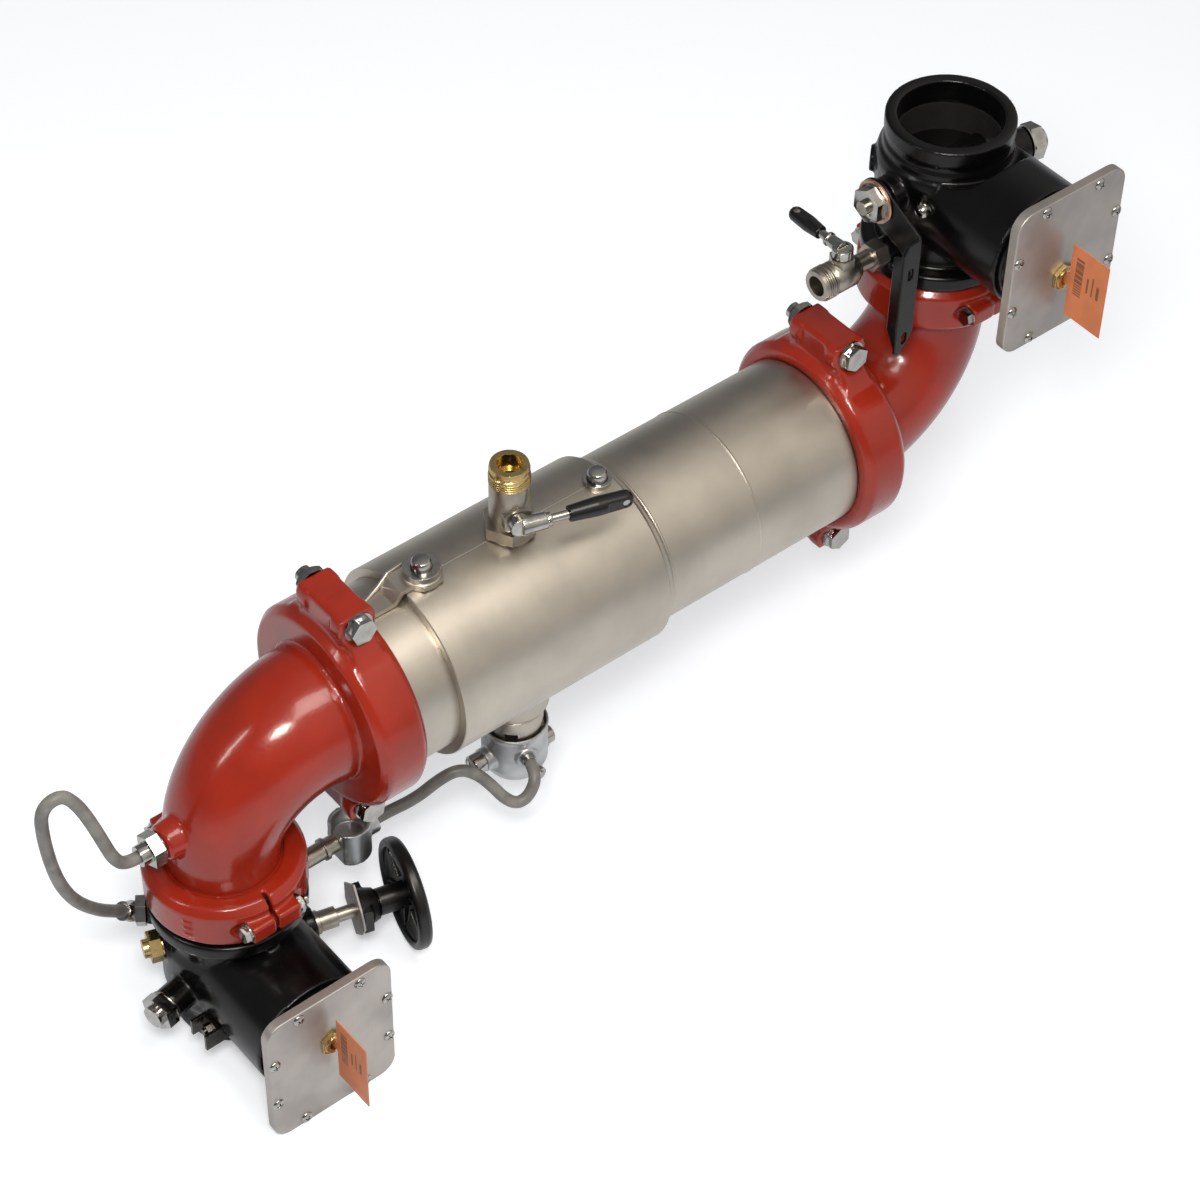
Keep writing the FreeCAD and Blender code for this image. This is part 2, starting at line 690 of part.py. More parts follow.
def large_lugs(c):
    """Heavy lug across each split: a rounded bar, a round boss under each bolt end and flared shoulders."""
    lugs = []
    for end in (-1, 1):
        foot = c.outer - 24
        top = c.reach + c.pad_r
        bar = block(0, end * (foot + top) / 2, 0, 2 * c.pad_half, top - foot, lug_width)
        bar = bar.makeFillet(lug_round, bar.Edges)
        cap = block(0, end * (foot + top) / 2, 0, 2 * c.pad_half + 1, top - foot, 3 * lug_width)
        for side in (-1, 1):
            boss_foot = V(side * (c.pad_half - lug_boss_length), end * c.reach, 0)
            boss = cyl(lug_boss_r, lug_boss_length, boss_foot, X * side)
            lugs.append(boss.common(cap))
        shoulder = prism([V(-c.pad_half + 2, end * (c.reach - 4), -lug_width / 2 + 3),
                          V(-c.outer * 0.72, end * c.outer * 0.62, -lug_width / 2 + 3),
                          V(0, end * foot, -lug_width / 2 + 3),
                          V(c.outer * 0.72, end * c.outer * 0.62, -lug_width / 2 + 3),
                          V(c.pad_half - 2, end * (c.reach - 4), -lug_width / 2 + 3)], V(0, 0, lug_width - 6))
        lugs += [bar, shoulder]
    return lugs


def coupling_half(c, pads, side):
    """Half housing about +Z at the origin, split on the YZ plane."""
    bore = cyl(c.pipe + gasket_thick, 2 * c.half_width - 2 * key_width, V(0, 0, -c.half_width + key_width))
    mouths = [cyl(c.groove + key_depth_gap, key_width + 1, V(0, 0, base))
              for base in (-c.half_width - 1, c.half_width - key_width)]
    body = cut(fuse([coupling_shell(c)] + pads), [bore] + mouths)
    face_r = c.bolt_r * 1.8 + 0.5
    ends = [(end, way) for end in (-1, 1) for way in (-1, 1)]
    holes = [cyl(c.bolt_r + 0.5, 4 * c.pad_half, V(-2 * c.pad_half, end * c.reach, 0), X) for end in (-1, 1)]
    holes += [cyl(face_r, 20.0, V(way * c.pad_half, end * c.reach, 0), X * way) for end, way in ends]
    keep = block(side * (c.outer + c.split_gap / 2), 0, 0, 2 * c.outer, 4 * c.outer, 4 * c.outer)
    return cut(body, holes).common(keep)


def coupling_bolts(c):
    """Bolt with a round head and its nut, for both ends of a coupling."""
    sets = []
    for end in (-1, 1):
        head_r = c.bolt_r * 1.65
        base = V(-c.pad_half, end * c.reach, 0)
        head = place(revolve([(0, 0), (head_r, 0), (head_r, c.bolt_r * 0.6), (head_r * 0.7, c.bolt_r * 1.25),
                              (0, c.bolt_r * 1.45)]), base, -X)
        shank = cyl(c.bolt_r, 2 * c.pad_half + c.bolt_r * 2.4, base, X)
        nut = hexagon(c.bolt_r * 3.1, c.bolt_r * 1.5, V(c.pad_half, end * c.reach, 0), X)
        nut = cut(nut, [cyl(c.bolt_r, c.bolt_r * 4, V(c.pad_half - 1, end * c.reach, 0), X)])
        sets += [fuse([head, shank]), nut]
    return sets


def coupling_gasket(c):
    return ring(c.pipe + gasket_thick - seat_gap, c.pipe + fit_gap, gasket_width, V(0, 0, -gasket_width / 2))


def small_at(shape, z, x):
    return moved(shape, V(x, 0, z))


def large_at(shape, x):
    """Large couplings lie along the body: their axis turns to +X and the pads go to top and bottom."""
    copy = shape.copy()
    copy.rotate(V(0, 0, 0), Y, 90)
    copy.rotate(V(0, 0, 0), X, 90)
    copy.translate(V(x, 0, body_height))
    return copy


small_halves = [coupling_half(small, small_pads(small), side) for side in (-1, 1)]
large_halves = [coupling_half(large, large_lugs(large), side) for side in (-1, 1)]
small_places = ((inlet_coupling_z, 0.0), (outlet_coupling_z, riser_spacing))
large_places = (left_coupling_x, right_coupling_x)
save("valve_coupling_halves", [small_at(h, z, x) for z, x in small_places for h in small_halves])
save("body_coupling_halves", [large_at(h, x) for x in large_places for h in large_halves])
save("coupling_gaskets", [small_at(coupling_gasket(small), z, x) for z, x in small_places]
     + [large_at(coupling_gasket(large), x) for x in large_places])
bolts = [small_at(b, z, x) for z, x in small_places for b in coupling_bolts(small)]
bolts += [large_at(b, x) for x in large_places for b in coupling_bolts(large)]
save("coupling_bolts", bolts)

# Elbows: a reducing bend from the riser size to the body size

elbow_start = pipe_gap / 2 + lip_length + groove_length
body_end_start = large_coupling_width / 2 - 0.5
elbow_boss_z = body_height - elbow_boss_drop
elbow_boss_end = V(-elbow_boss_reach, 0, elbow_boss_z)


def bend_tube(r_neck, r_mouth, over):
    """Straight neck, bend that widens evenly, and straight mouth, all round."""
    neck_z = inlet_coupling_z + elbow_start - over
    bend_z = body_height - elbow_bend_r
    mouth_x = left_coupling_x - body_end_start + over
    half = math.sqrt(0.5) * elbow_bend_r
    path = Part.Wire([Part.Arc(V(0, 0, bend_z), V(elbow_bend_r - half, 0, bend_z + half),
                               V(elbow_bend_r, 0, body_height)).toShape()])
    small = Part.Wire([Part.makeCircle(r_neck, V(0, 0, bend_z), Z)])
    large = Part.Wire([Part.makeCircle(r_mouth, V(elbow_bend_r, 0, body_height), X)])
    bend = path.makePipeShell([small, large], True, False)
    return fuse([bend, cyl(r_neck, bend_z - neck_z, V(0, 0, neck_z)),
                 cyl(r_mouth, mouth_x - elbow_bend_r, V(elbow_bend_r, 0, body_height), X)])


def elbow():
    outer = bend_tube(elbow_neck_r, elbow_mouth_r, 0.0)
    neck = cyl(riser_r, elbow_start - pipe_gap / 2, V(0, 0, inlet_coupling_z + pipe_gap / 2))
    neck_step = cyl(elbow_neck_r, 3.0, V(0, 0, inlet_coupling_z + elbow_start - 1))
    end_face = left_coupling_x - pipe_gap / 2
    web_start = left_coupling_x - body_end_start
    mouth = fuse([cyl(body_r, lip_length, V(end_face - lip_length, 0, body_height), X),
                  cyl(body_groove_r, end_face - web_start, V(web_start, 0, body_height), X)])
    boss_at = V(-elbow_boss_start, 0, elbow_boss_z)
    boss = cyl(elbow_boss_r, elbow_boss_reach - elbow_boss_start, boss_at, -X)
    solid = fuse([outer, neck, neck_step, mouth, boss])
    inner = bend_tube(elbow_neck_r - elbow_wall, elbow_mouth_r - elbow_wall, 3.0)
    tools = [inner, cyl(elbow_neck_r - elbow_wall, elbow_start + 4, V(0, 0, inlet_coupling_z - 2)),
             cyl(body_r - 10.0, lip_length + 1, V(end_face - lip_length, 0, body_height), X),
             grooved_end(riser_r, riser_groove_r, V(0, 0, inlet_coupling_z + pipe_gap / 2), Z),
             cyl(port_r, 70.0, elbow_boss_end - X, X)]
    return cut(solid, tools)


def mirrored_elbow():
    """The outlet elbow is the same casting turned half round about Y."""
    copy = elbow()
    copy.rotate(V(riser_spacing / 2, 0, body_height), Y, 180)
    return copy


save("inlet_elbow", elbow())
save("outlet_elbow", mirrored_elbow())

# Body tube, access sleeve and what holds it

body_start = left_coupling_x + pipe_gap / 2
body_end = right_coupling_x - pipe_gap / 2
tube = ring(body_r, body_bore_r, body_end - body_start, V(body_start, 0, body_height), X)
relief_way_r = relief_bore_r - 2
tube = cut(tube, [grooved_end(body_r, body_groove_r, V(body_start, 0, body_height), X),
                  grooved_end(body_r, body_groove_r, V(body_end, 0, body_height), -X),
                  cyl(tap_way_r, 2 * body_r, V(tap_x, 0, body_height), Z),
                  cyl(relief_way_r, 2 * body_r, V(relief_x, 0, body_height), -Z)])
save("body_tube", tube)

sleeve_inner = body_r + seat_gap
sleeve_length = sleeve_end - sleeve_start
sleeve = revolve([(sleeve_inner, 0), (sleeve_r - 2, 0), (sleeve_r, 2),
                  (sleeve_r, sleeve_length - sleeve_taper), (sleeve_inner + 0.6, sleeve_length),
                  (sleeve_inner, sleeve_length)],
                 V(sleeve_start, 0, body_height), X)
collar_base = V(relief_x, 0, relief_collar_z)
end_bolt_rise = 0.6
sleeve = fuse([sleeve, cyl(relief_collar_r, body_height - relief_collar_z, collar_base),
               cyl(cock_pad_r, sleeve_r + cock_pad_rise, V(tap_x, 0, body_height), Z),
               cyl(12.5, sleeve_r + end_bolt_rise, V(sleeve_bolt_x[1], 0, body_height), Z)])
sleeve = cut(sleeve, [cyl(sleeve_inner, sleeve_length + 40, V(sleeve_start - 20, 0, body_height), X),
                      cyl(relief_way_r, body_height, V(relief_x, 0, body_height), -Z),
                      cyl(relief_neck_r - relief_neck_wall + seat_gap, neck_spigot + seat_gap, collar_base),
                      cyl(tap_way_r, 2 * body_r, V(tap_x, 0, body_height), Z)])
save("access_sleeve", sleeve)

# Strap that ties the sleeve to the body: a cranked plate under the first bolt, its back edge rolled up

strap_thick = 4.0
strap_low = body_height + body_r + 0.5
strap_high = top_z + 0.8
strap_side = [V(158, 0, strap_low), V(181, 0, strap_low), V(189, 0, strap_high),
              V(231, 0, strap_high), V(231, 0, strap_high + strap_thick),
              V(187, 0, strap_high + strap_thick), V(178, 0, strap_low + strap_thick),
              V(158, 0, strap_low + strap_thick)]
strap_plan = [V(158, -8, 0), V(200, -8, 0), V(204, -16, 0), V(224, -16, 0), V(230, -6, 0), V(230, 8, 0),
              V(222, 18, 0), V(204, 19, 0), V(180, 15, 0), V(158, 8, 0)]
strap = prism(strap_side, V(0, 80, 0))
strap = moved(strap, V(0, -40, 0)).common(moved(prism(strap_plan, V(0, 0, 40)), V(0, 0, strap_low - 4)))
edge_points = [V(158, 7, strap_low + 5), V(178, 14, strap_low + 6.5), V(190, 16.5, strap_high + 4.5),
               V(205, 18, strap_high + 4.5)]
edge_roll = [cyl(1.8, (b - a).Length, a, b - a) for a, b in zip(edge_points, edge_points[1:])]
edge_roll += [Part.makeSphere(1.8, p) for p in edge_points]
save("sleeve_strap", fuse([strap] + edge_roll))


def sleeve_bolt(x, rise, cup_r, cup_height):
    """Cup washer with a hex-free round head standing in it."""
    seat = V(x, 0, top_z + rise)
    washer = fuse([ring(cup_r, 9.0, cup_height, seat), ring(9.5, 3.0, 2.0, seat)])
    crown = cup_height + 6.0
    head = revolve([(0, 2.1), (8.6, 2.1), (8.6, crown), (7.2, crown + 2.0), (0, crown + 2.6)], seat)
    return [washer, head]


save("sleeve_bolts", sleeve_bolt(sleeve_bolt_x[0], strap_high + strap_thick - top_z, 16.0, 8.0)
     + sleeve_bolt(sleeve_bolt_x[1], end_bolt_rise, 12.5, 3.0))

# Test cocks: body, ball with stem, lever and rubber grip. Made along +Z, lever to +X, stem to -Y.

cock_stem_r = 4.0
cock_hub_r = 9.5
cock_hub_depth = 9.0
cock_grip_line = 6.8


class Cock:
    """Sizes of one test cock."""

    def __init__(self, radius, height, ball_z, ball_r, way_r, mouth_r, mouth_depth, foot_af,
                 side_reach, side_af, collar_at, grip_start, lever_reach, grip_r):
        self.radius = radius
        self.height = height
        self.ball_z = ball_z
        self.ball_r = ball_r
        self.way_r = way_r
        self.mouth_r = mouth_r
        self.mouth_depth = mouth_depth
        self.foot_af = foot_af
        self.side_reach = side_reach
        self.side_af = side_af
        self.collar_at = collar_at
        self.grip_start = grip_start
        self.lever_reach = lever_reach
        self.grip_r = grip_r
        self.lever_y = side_reach + run_gap


body_size = Cock(17.5, 74.0, 26.0, 13.0, 8.0, 11.0, 16.0, 42.0, 20.0, 24.0, 24.0, 42.0, 92.0, 8.6)
outlet_size = Cock(15.0, 45.0, 17.0, 10.5, 6.0, 9.5, 14.0, 0.0, 20.0, 20.0, 17.0, 28.0, 60.0, 7.6)
cock_inlet_r = 5.5


def cock_body(c):
    """Turned body with thread ridges under the mouth and a hex boss for the stem."""
    top = c.height
    foot = [(0, 0), (c.radius, 0)]
    if c.foot_af == 0:
        foot = [(0, 0), (c.radius - 4, 0), (c.radius, 8)]
    barrel = revolve(foot + [(c.radius, top - 16), (c.radius - 1.5, top - 14), (c.radius - 1.5, top - 12),
                             (c.radius, top - 11), (c.radius, top - 8), (c.radius - 1.2, top - 7),
                             (c.radius - 1.2, top - 5), (c.radius, top - 4), (c.radius - 1.0, top), (0, top)])
    solid = [barrel, hexagon(c.side_af, c.side_reach, V(0, 0, c.ball_z), -Y, 30)]
    if c.foot_af > 0:
        solid.append(hexagon(c.foot_af, 12.0, V(0, 0, 0), Z, 15))
    return cut(fuse(solid), [cyl(c.mouth_r, c.mouth_depth, V(0, 0, top - c.mouth_depth)),
                             cyl(c.way_r, top - c.ball_z, V(0, 0, c.ball_z)),
                             cyl(cock_inlet_r, c.ball_z + 1, V(0, 0, -1)),
                             Part.makeSphere(c.ball_r + run_gap, V(0, 0, c.ball_z)),
                             cyl(cock_stem_r + fit_gap, c.side_reach + 4, V(0, 0, c.ball_z), -Y)])


def cock_ball(c):
    """Closed at rest: the ball's bore lies across the flow, along the lever."""
    centre = V(0, 0, c.ball_z)
    ball = Part.makeSphere(c.ball_r, centre)
    ball = cut(ball, [cyl(c.way_r, 4 * c.ball_r, centre - X * 2 * c.ball_r, X)])
    stem_start = c.ball_r - 4
    return fuse([ball, cyl(cock_stem_r, c.lever_y + 5 - stem_start, centre - Y * stem_start, -Y)])


def cock_lever(c):
    """Hub on the stem with a round neck, a collar and the tang that carries the grip."""
    centre = V(0, -c.lever_y, c.ball_z)
    hub = cyl(cock_hub_r, cock_hub_depth, centre, -Y)
    line = centre - Y * cock_grip_line
    neck = fuse([cone(6.6, 5.6, c.collar_at, line, X), cyl(6.6, 3.0, line + X * (c.collar_at - 1), X),
                 cyl(4.0, c.grip_start + 20 - c.collar_at, line + X * (c.collar_at + 1), X)])
    return cut(fuse([hub, neck]), [cyl(cock_stem_r, 5.0 + 1, centre + Y, -Y)])


def cock_grip(c):
    line = V(0, -c.lever_y - cock_grip_line, c.ball_z)
    stretch = c.lever_reach - c.grip_start
    end_r = c.grip_r - 0.6
    body = fuse([cone(c.grip_r - 1.4, c.grip_r, stretch * 0.5, line + X * c.grip_start, X),
                 cone(c.grip_r, end_r, stretch * 0.5, line + X * (c.grip_start + stretch * 0.5), X),
                 Part.makeSphere(end_r, line + X * c.lever_reach)])
    flats = [block(c.lever_reach - 2, line.y + side * (c.grip_r + 1.2), line.z, 30.0, 7.0, 30.0)
             for side in (-1, 1)]
    hole = cyl(3.4, 30.0, line + X * c.lever_reach - Y * 15, Y)
    return cut(body, flats + [hole, cyl(4.0, 24.0, line + X * (c.grip_start - 3), X)])


def body_cock(shape):
    copy = shape.copy()
    copy.rotate(V(0, 0, 0), Z, cock_turn)
    return moved(copy, V(tap_x, 0, top_z + cock_pad_rise))


cock_nipple_length = 30.0
nipple_hex = 14.0
nipple_r = 8.5
line_tap_reach = line_tap[3]
line_tap_z = line_tap[1]


def outlet_cock(shape):
    """Lie the cock along -X with its lever towards +Y and its stem up."""
    copy = shape.copy()
    way_out = riser_spacing - line_tap_reach - cock_nipple_length
    turn = FreeCAD.Matrix(0, 0, -1, way_out, 1, 0, 0, 0, 0, -1, 0, outlet_face_z + line_tap_z, 0, 0, 0, 1)
    copy.Placement = FreeCAD.Placement(turn).multiply(copy.Placement)
    return copy


for name, put, size in (("body", body_cock, body_size), ("outlet", outlet_cock, outlet_size)):
    save(name + "_test_cock", put(cock_body(size)))
    save(name + "_cock_ball", put(cock_ball(size)))
    save(name + "_cock_lever", put(cock_lever(size)))
    save(name + "_cock_grip", put(cock_grip(size)))

nipple_at = V(riser_spacing - line_tap_reach, 0, outlet_face_z + line_tap_z)
cock_nipple = fuse([hexagon(24.0, nipple_hex, nipple_at, -X, 30),
                    cyl(nipple_r, cock_nipple_length - nipple_hex, nipple_at - X * nipple_hex, -X),
                    cyl(port_r - fit_gap, 12.0, nipple_at, X)])
cock_nipple = cut(cock_nipple, [cyl(4.0, 60.0, nipple_at + X * 13, -X)])

# Relief valve: its cup hangs from a ringed neck and holds the diaphragm that shuts the drain windows

relief_axis = V(relief_x, 0, 0)
neck_top_z = relief_collar_z + neck_spigot
neck_foot_z = relief_rim_z - 11
relief_neck = revolve([(relief_seat_r, relief_seat_z), (relief_way_r, relief_seat_z + 4),
                       (relief_way_r, neck_top_z), (relief_neck_r - relief_neck_wall, neck_top_z),
                       (relief_neck_r - relief_neck_wall, relief_collar_z), (relief_neck_r, relief_collar_z),
                       (relief_neck_r, relief_collar_z - 6), (relief_neck_r - 1.5, relief_collar_z - 7),
                       (relief_neck_r - 1.5, relief_collar_z - 9), (relief_neck_r, relief_collar_z - 10),
                       (relief_neck_r, neck_foot_z), (relief_way_r, neck_foot_z),
                       (relief_way_r, relief_seat_z - 1), (relief_seat_r + 2, relief_seat_z - 1)],
                      relief_axis)
window_height = relief_seat_z - neck_foot_z - 3
windows = []
for i in range(4):
    window = block(relief_neck_r - 4, 0, neck_foot_z + 1.5 + window_height / 2, 20.0, 12.0, window_height)
    window.rotate(V(0, 0, 0), Z, 45 + 90 * i)
    windows.append(moved(window, relief_axis))
save("relief_neck", cut(relief_neck, windows))

cup_floor_z = neck_foot_z - 4
cap_top_z = relief_bottom_z + 6
relief_cup = revolve([(relief_stem_r + fit_gap, neck_foot_z), (relief_neck_r + 2, neck_foot_z),
                      (relief_neck_r + 2, relief_rim_z), (relief_r, relief_rim_z),
                      (relief_r + 0.8, relief_rim_z - 2), (relief_r, relief_rim_z - 5),
                      (relief_r, relief_bottom_z + 10), (relief_r - 4, relief_bottom_z),
                      (relief_bore_r + 2, relief_bottom_z), (relief_bore_r + 2, cup_floor_z),
                      (relief_stem_r + fit_gap, cup_floor_z)], relief_axis)
left_plug = (-X, relief_rim_z - 32.0, 7.0)
right_plug = (X, relief_rim_z - 47.0, 2.0)
hose_port = (heading(-106.0), relief_rim_z - 21.5, 2.0)
cup_ports = (left_plug, right_plug, hose_port)
relief_cup = fuse([relief_cup] + [cyl(11.0, reach + 2, V(relief_x, 0, z) + way * (relief_r - 2), way)
                                  for way, z, reach in cup_ports])
cap_pocket = cyl(relief_bore_r + 2, cup_floor_z - relief_bottom_z + 1, V(relief_x, 0, relief_bottom_z - 1))
relief_cup = cut(relief_cup, [cap_pocket] + [cyl(4.0, 25.0, V(relief_x, 0, z) + way * relief_bore_r, way)
                                             for way, z, reach in cup_ports])
save("relief_cup", relief_cup)
cap = revolve([(0, relief_bottom_z), (relief_bore_r + 2 - seat_gap, relief_bottom_z),
               (relief_bore_r + 2 - seat_gap, cap_top_z), (0, cap_top_z)], relief_axis)
drain = block(relief_x, 0, relief_bottom_z, 10.0, 2.0, 3.0)
save("relief_cap", cut(cap, [drain]))


def relief_plug(port, r, head):
    """Socket head plug that closes a port of the cup."""
    way, z, reach = port
    seat = V(relief_x, 0, z) + way * (relief_r + reach)
    cap = revolve([(0, 0), (r, 0), (r, head - 1.5), (r - 1.5, head), (r - 3, head), (r - 4, head - 2),
                   (0, head - 2)])
    return fuse([place(cap, seat, way), cyl(4.0 - fit_gap, 6.0, seat, -way)])


bleed_way = heading(-84.0)
bleed_at = V(relief_x, 0, relief_rim_z - 48.5) + bleed_way * (relief_r - 1)
bleed = cut(fuse([cyl(6.5, 5.0, bleed_at, bleed_way), cyl(4.0, 6.5, bleed_at, bleed_way)]),
            [cyl(relief_r, relief_cup_height, relief_axis + Z * relief_bottom_z)])
save("relief_plugs", [relief_plug(left_plug, 10.0, 12.0), relief_plug(right_plug, 9.0, 9.0), bleed])

stem_foot_z = cup_floor_z - 18
spring_foot_z = cup_floor_z - 11
plate_z = cup_floor_z - 13
relief_stem = fuse([cyl(relief_stem_r, relief_seat_z - 5 - stem_foot_z, relief_axis + Z * stem_foot_z),
                    cyl(relief_way_r - 2, 3.7, relief_axis + Z * (relief_seat_z - 1 - run_gap - 3.7)),
                    cyl(10.0, 2.0, relief_axis + Z * plate_z),
                    hexagon(10.0, 3.0, relief_axis + Z * (stem_foot_z + 0.5), Z)])
save("relief_stem", relief_stem)
diaphragm_edge = relief_bore_r + 2 - run_gap
diaphragm = revolve([(relief_stem_r, plate_z), (relief_stem_r, plate_z - 1.4), (12, plate_z - 1.4),
                     (15, plate_z - 3), (diaphragm_edge, plate_z - 1.4), (diaphragm_edge, plate_z),
                     (15.5, plate_z - 1.4), (12, plate_z)], relief_axis)
save("relief_diaphragm", diaphragm)


def coil(radius, wire_r, height, turns, base, along=Z):
    """Square-section coil spring."""
    helix = Part.makeHelix((height - 2 * wire_r) / turns, height - 2 * wire_r, radius)
    path = Part.Wire(helix.Edges)
    corners = [V(radius + sx * wire_r, 0, sz * wire_r) for sx, sz in ((-1, -1), (1, -1), (1, 1), (-1, 1))]
    profile = Part.makePolygon(corners + [corners[0]])
    return place(moved(path.makePipeShell([profile], True, True), V(0, 0, wire_r)), base, along)


spring_length = cup_floor_z - spring_foot_z - 2 * seat_gap
save("relief_spring", coil(7.0, 0.8, spring_length, 3, relief_axis + Z * (spring_foot_z + seat_gap)))

# Check valves inside the body tube: seat ring with ears, clapper on its pin, torsion springs

def check_seat():
    plate = ring(body_bore_r - seat_gap, check_port_r, check_plate_thick, V(-check_plate_thick, 0, 0), X)
    lip = ring(check_port_r + 3, check_port_r, 2.0, V(-0.5, 0, 0), X)
    ears = []
    for side in (-1, 1):
        middle = side * (ear_y + ear_half)
        ear = fuse([block(5, middle, check_hinge_z, 14.0, 2 * ear_half, 16.0),
                    cyl(8.0, 2 * ear_half, V(check_hinge_x, middle - ear_half, check_hinge_z), Y)])
        ears.append(ear)
    body = fuse([plate, lip] + ears)
    return cut(body, [cyl(check_pin_r, 80.0, V(check_hinge_x, -40, check_hinge_z), Y)])


def clapper():
    """Domed disc with an arm whose knuckle turns on the pin between the ears."""
    start = 1.5 + run_gap
    disc = revolve([(0, start), (clapper_r, start), (clapper_r, start + 4),
                    (clapper_r - 8, start + clapper_thick), (18, start + clapper_thick + 2),
                    (0, start + clapper_thick + 4)], V(0, 0, 0), X)
    arm = block(check_hinge_x, 0, check_hinge_z - 12, 8.0, 2 * arm_half, 30.0)
    knuckle = cyl(7.5, 2 * arm_half, V(check_hinge_x, -arm_half, check_hinge_z), Y)
    body = fuse([disc, arm, knuckle])
    return cut(body, [cyl(check_pin_r + fit_gap, 80.0, V(check_hinge_x, -40, check_hinge_z), Y)])


def check_at(shape, x):
    return moved(shape, V(x, 0, body_height))


save("check_seats", [check_at(check_seat(), x) for x in check_x])
save("first_check_clapper", check_at(clapper(), check_x[0]))
save("second_check_clapper", check_at(clapper(), check_x[1]))
pin_half = ear_y + 2 * ear_half + 1
save("check_pins", [check_at(cyl(check_pin_r, 2 * pin_half, V(check_hinge_x, -pin_half, check_hinge_z), Y), x)
                    for x in check_x])
save("check_springs", [check_at(coil(check_pin_r + 1.2, 0.8, ear_y - arm_half - 0.6, 2,
                                     V(check_hinge_x, side, check_hinge_z), Y), x)
                       for x in check_x for side in (-ear_y + 0.3, arm_half + 0.3)])

# Switch bodies behind the covers

switch_back = -cover_front + cover_sheet + switch_depth
switch = fuse([block(0, switch_back - switch_depth / 2, barrel_z + switch_rise, switch_width, switch_depth,
                     switch_height), cyl(3.0, 8.0, V(0, switch_back, barrel_z + switch_rise), Y)])
save("supervisory_switches", [turned_over(switch), at_outlet(switch)])

# Sensing lines with their fittings

hose_tap_angle, hose_tap_z = hose_tap[:2]
hose_tap_reach = hose_tap[3]
inlet_line_way = heading(180.0 - hose_tap_angle)
inlet_line_z = valve_length - hose_tap_z
hose_a_start = elbow_boss_end - X * 21
fitting_centre = V(0, 0, inlet_line_z) + inlet_line_way * (hose_tap_reach + 13)
hose_a_bend = V(-93, 41, 141)
hose_a_way = (hose_a_bend - fitting_centre).normalize()
hose_a_end = fitting_centre + hose_a_way * 14
hose_a_points = [hose_a_start, hose_a_start - X * 13, V(-102, 0, 256.5), V(-108, 1, 280), V(-115, 1, 306),
                 V(-121, 2, 326), V(-127.5, 3, 342), V(-135, 5, 353), V(-147, 7, 352.5), V(-154, 9, 342),
                 V(-154.5, 12, 325), V(-152, 15, 298), V(-147, 20, 260), V(-139, 25, 224), V(-127, 30, 192),
                 V(-110, 36, 163), hose_a_bend, hose_a_end]
save("elbow_sensing_hose", tube_along("elbow_sensing_hose", hose_a_points, hose_r))

tee_z = valve_length - line_tap_z
hose_b_start = V(tee_x + tee_out, 0, tee_z)
hose_port_way, hose_port_z, hose_port_reach = hose_port
relief_port = V(relief_x, 0, hose_port_z) + hose_port_way * (relief_r + hose_port_reach)
hose_b_end = relief_port + hose_port_way * 6
hose_b_points = [hose_b_start, hose_b_start + X * 14, V(193, -8, 125), V(214, -15, 142), V(231, -22, 150),
                 V(244, -31, 142), V(254, -39, 126), V(262, -46, 110), V(272, -52, 101), V(284, -54, 106),
                 hose_b_end + hose_port_way * 15, hose_b_end]
save("relief_sensing_hose", tube_along("relief_sensing_hose", hose_b_points, hose_r))

tee_inlet = V(line_tap_reach, 0, tee_z)
line_nipple = fuse([cyl(nipple_r, tee_x - 15 - line_tap_reach, tee_inlet, X), cyl(12.0, 3.0, tee_inlet, X),
                    cyl(10.5, 4.0, tee_inlet + X * 27, X), cyl(port_r - fit_gap, 12.0, tee_inlet, -X)])
save("line_nipples", [cut(line_nipple, [cyl(4.0, 80.0, tee_inlet - X * 13, X)]), cock_nipple])
tee_rise = 17.0
tee_drop = 21.0
tee = fuse([cyl(tee_r, tee_rise + tee_drop, V(tee_x, 0, tee_z - tee_drop)),
            cyl(13.0, tee_out - 2, V(tee_x, 0, tee_z), -X).common(
                block(tee_x - 30, 0, tee_z, 60.0, 60.0, 60.0)),
            cyl(11.0, tee_out, V(tee_x, 0, tee_z), X)])
tee = tee.common(block(tee_x + 10, 0, tee_z, 50.0, 60.0, 60.0))
tee = cut(tee, [cyl(tee_r - 3.5, 30.0, V(tee_x, 0, tee_z - 1)),
                cyl(4.0, 80.0, V(tee_x - 40, 0, tee_z - 6), X)])
save("sensing_tee", tee)

hex_a = fuse([hexagon(28.0, 11.0, elbow_boss_end - X * 1.5, -X), cyl(13.0, 1.5, elbow_boss_end, -X),
              cyl(9.5, 8.5, elbow_boss_end - X * 12.5, -X), cyl(port_r - fit_gap, 12.0, elbow_boss_end, X)])
port_a = V(0, 0, inlet_line_z) + inlet_line_way * hose_tap_reach
hex_b = fuse([hexagon(24.0, 9.0, port_a, inlet_line_way),
              cyl(8.5, 5.0, port_a + inlet_line_way * 8, inlet_line_way),
              Part.makeSphere(9.5, fitting_centre), cyl(8.5, 14.0, fitting_centre, hose_a_way),
              cyl(port_r - fit_gap, 12.0, port_a, -inlet_line_way)])
ferrule = cyl(7.0, 6.0, relief_port, hose_port_way)
save("hose_fittings", [hex_a, hex_b, ferrule])
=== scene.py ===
"""Looks of a reduced pressure backflow assembly.

Castings, turned tube, fasteners, sensing hoses and the studio stage.
"""
import json
import math

import bmesh
import bpy
from bpy.props import FloatProperty, IntProperty, PointerProperty, StringProperty
from mathutils import Matrix, Vector

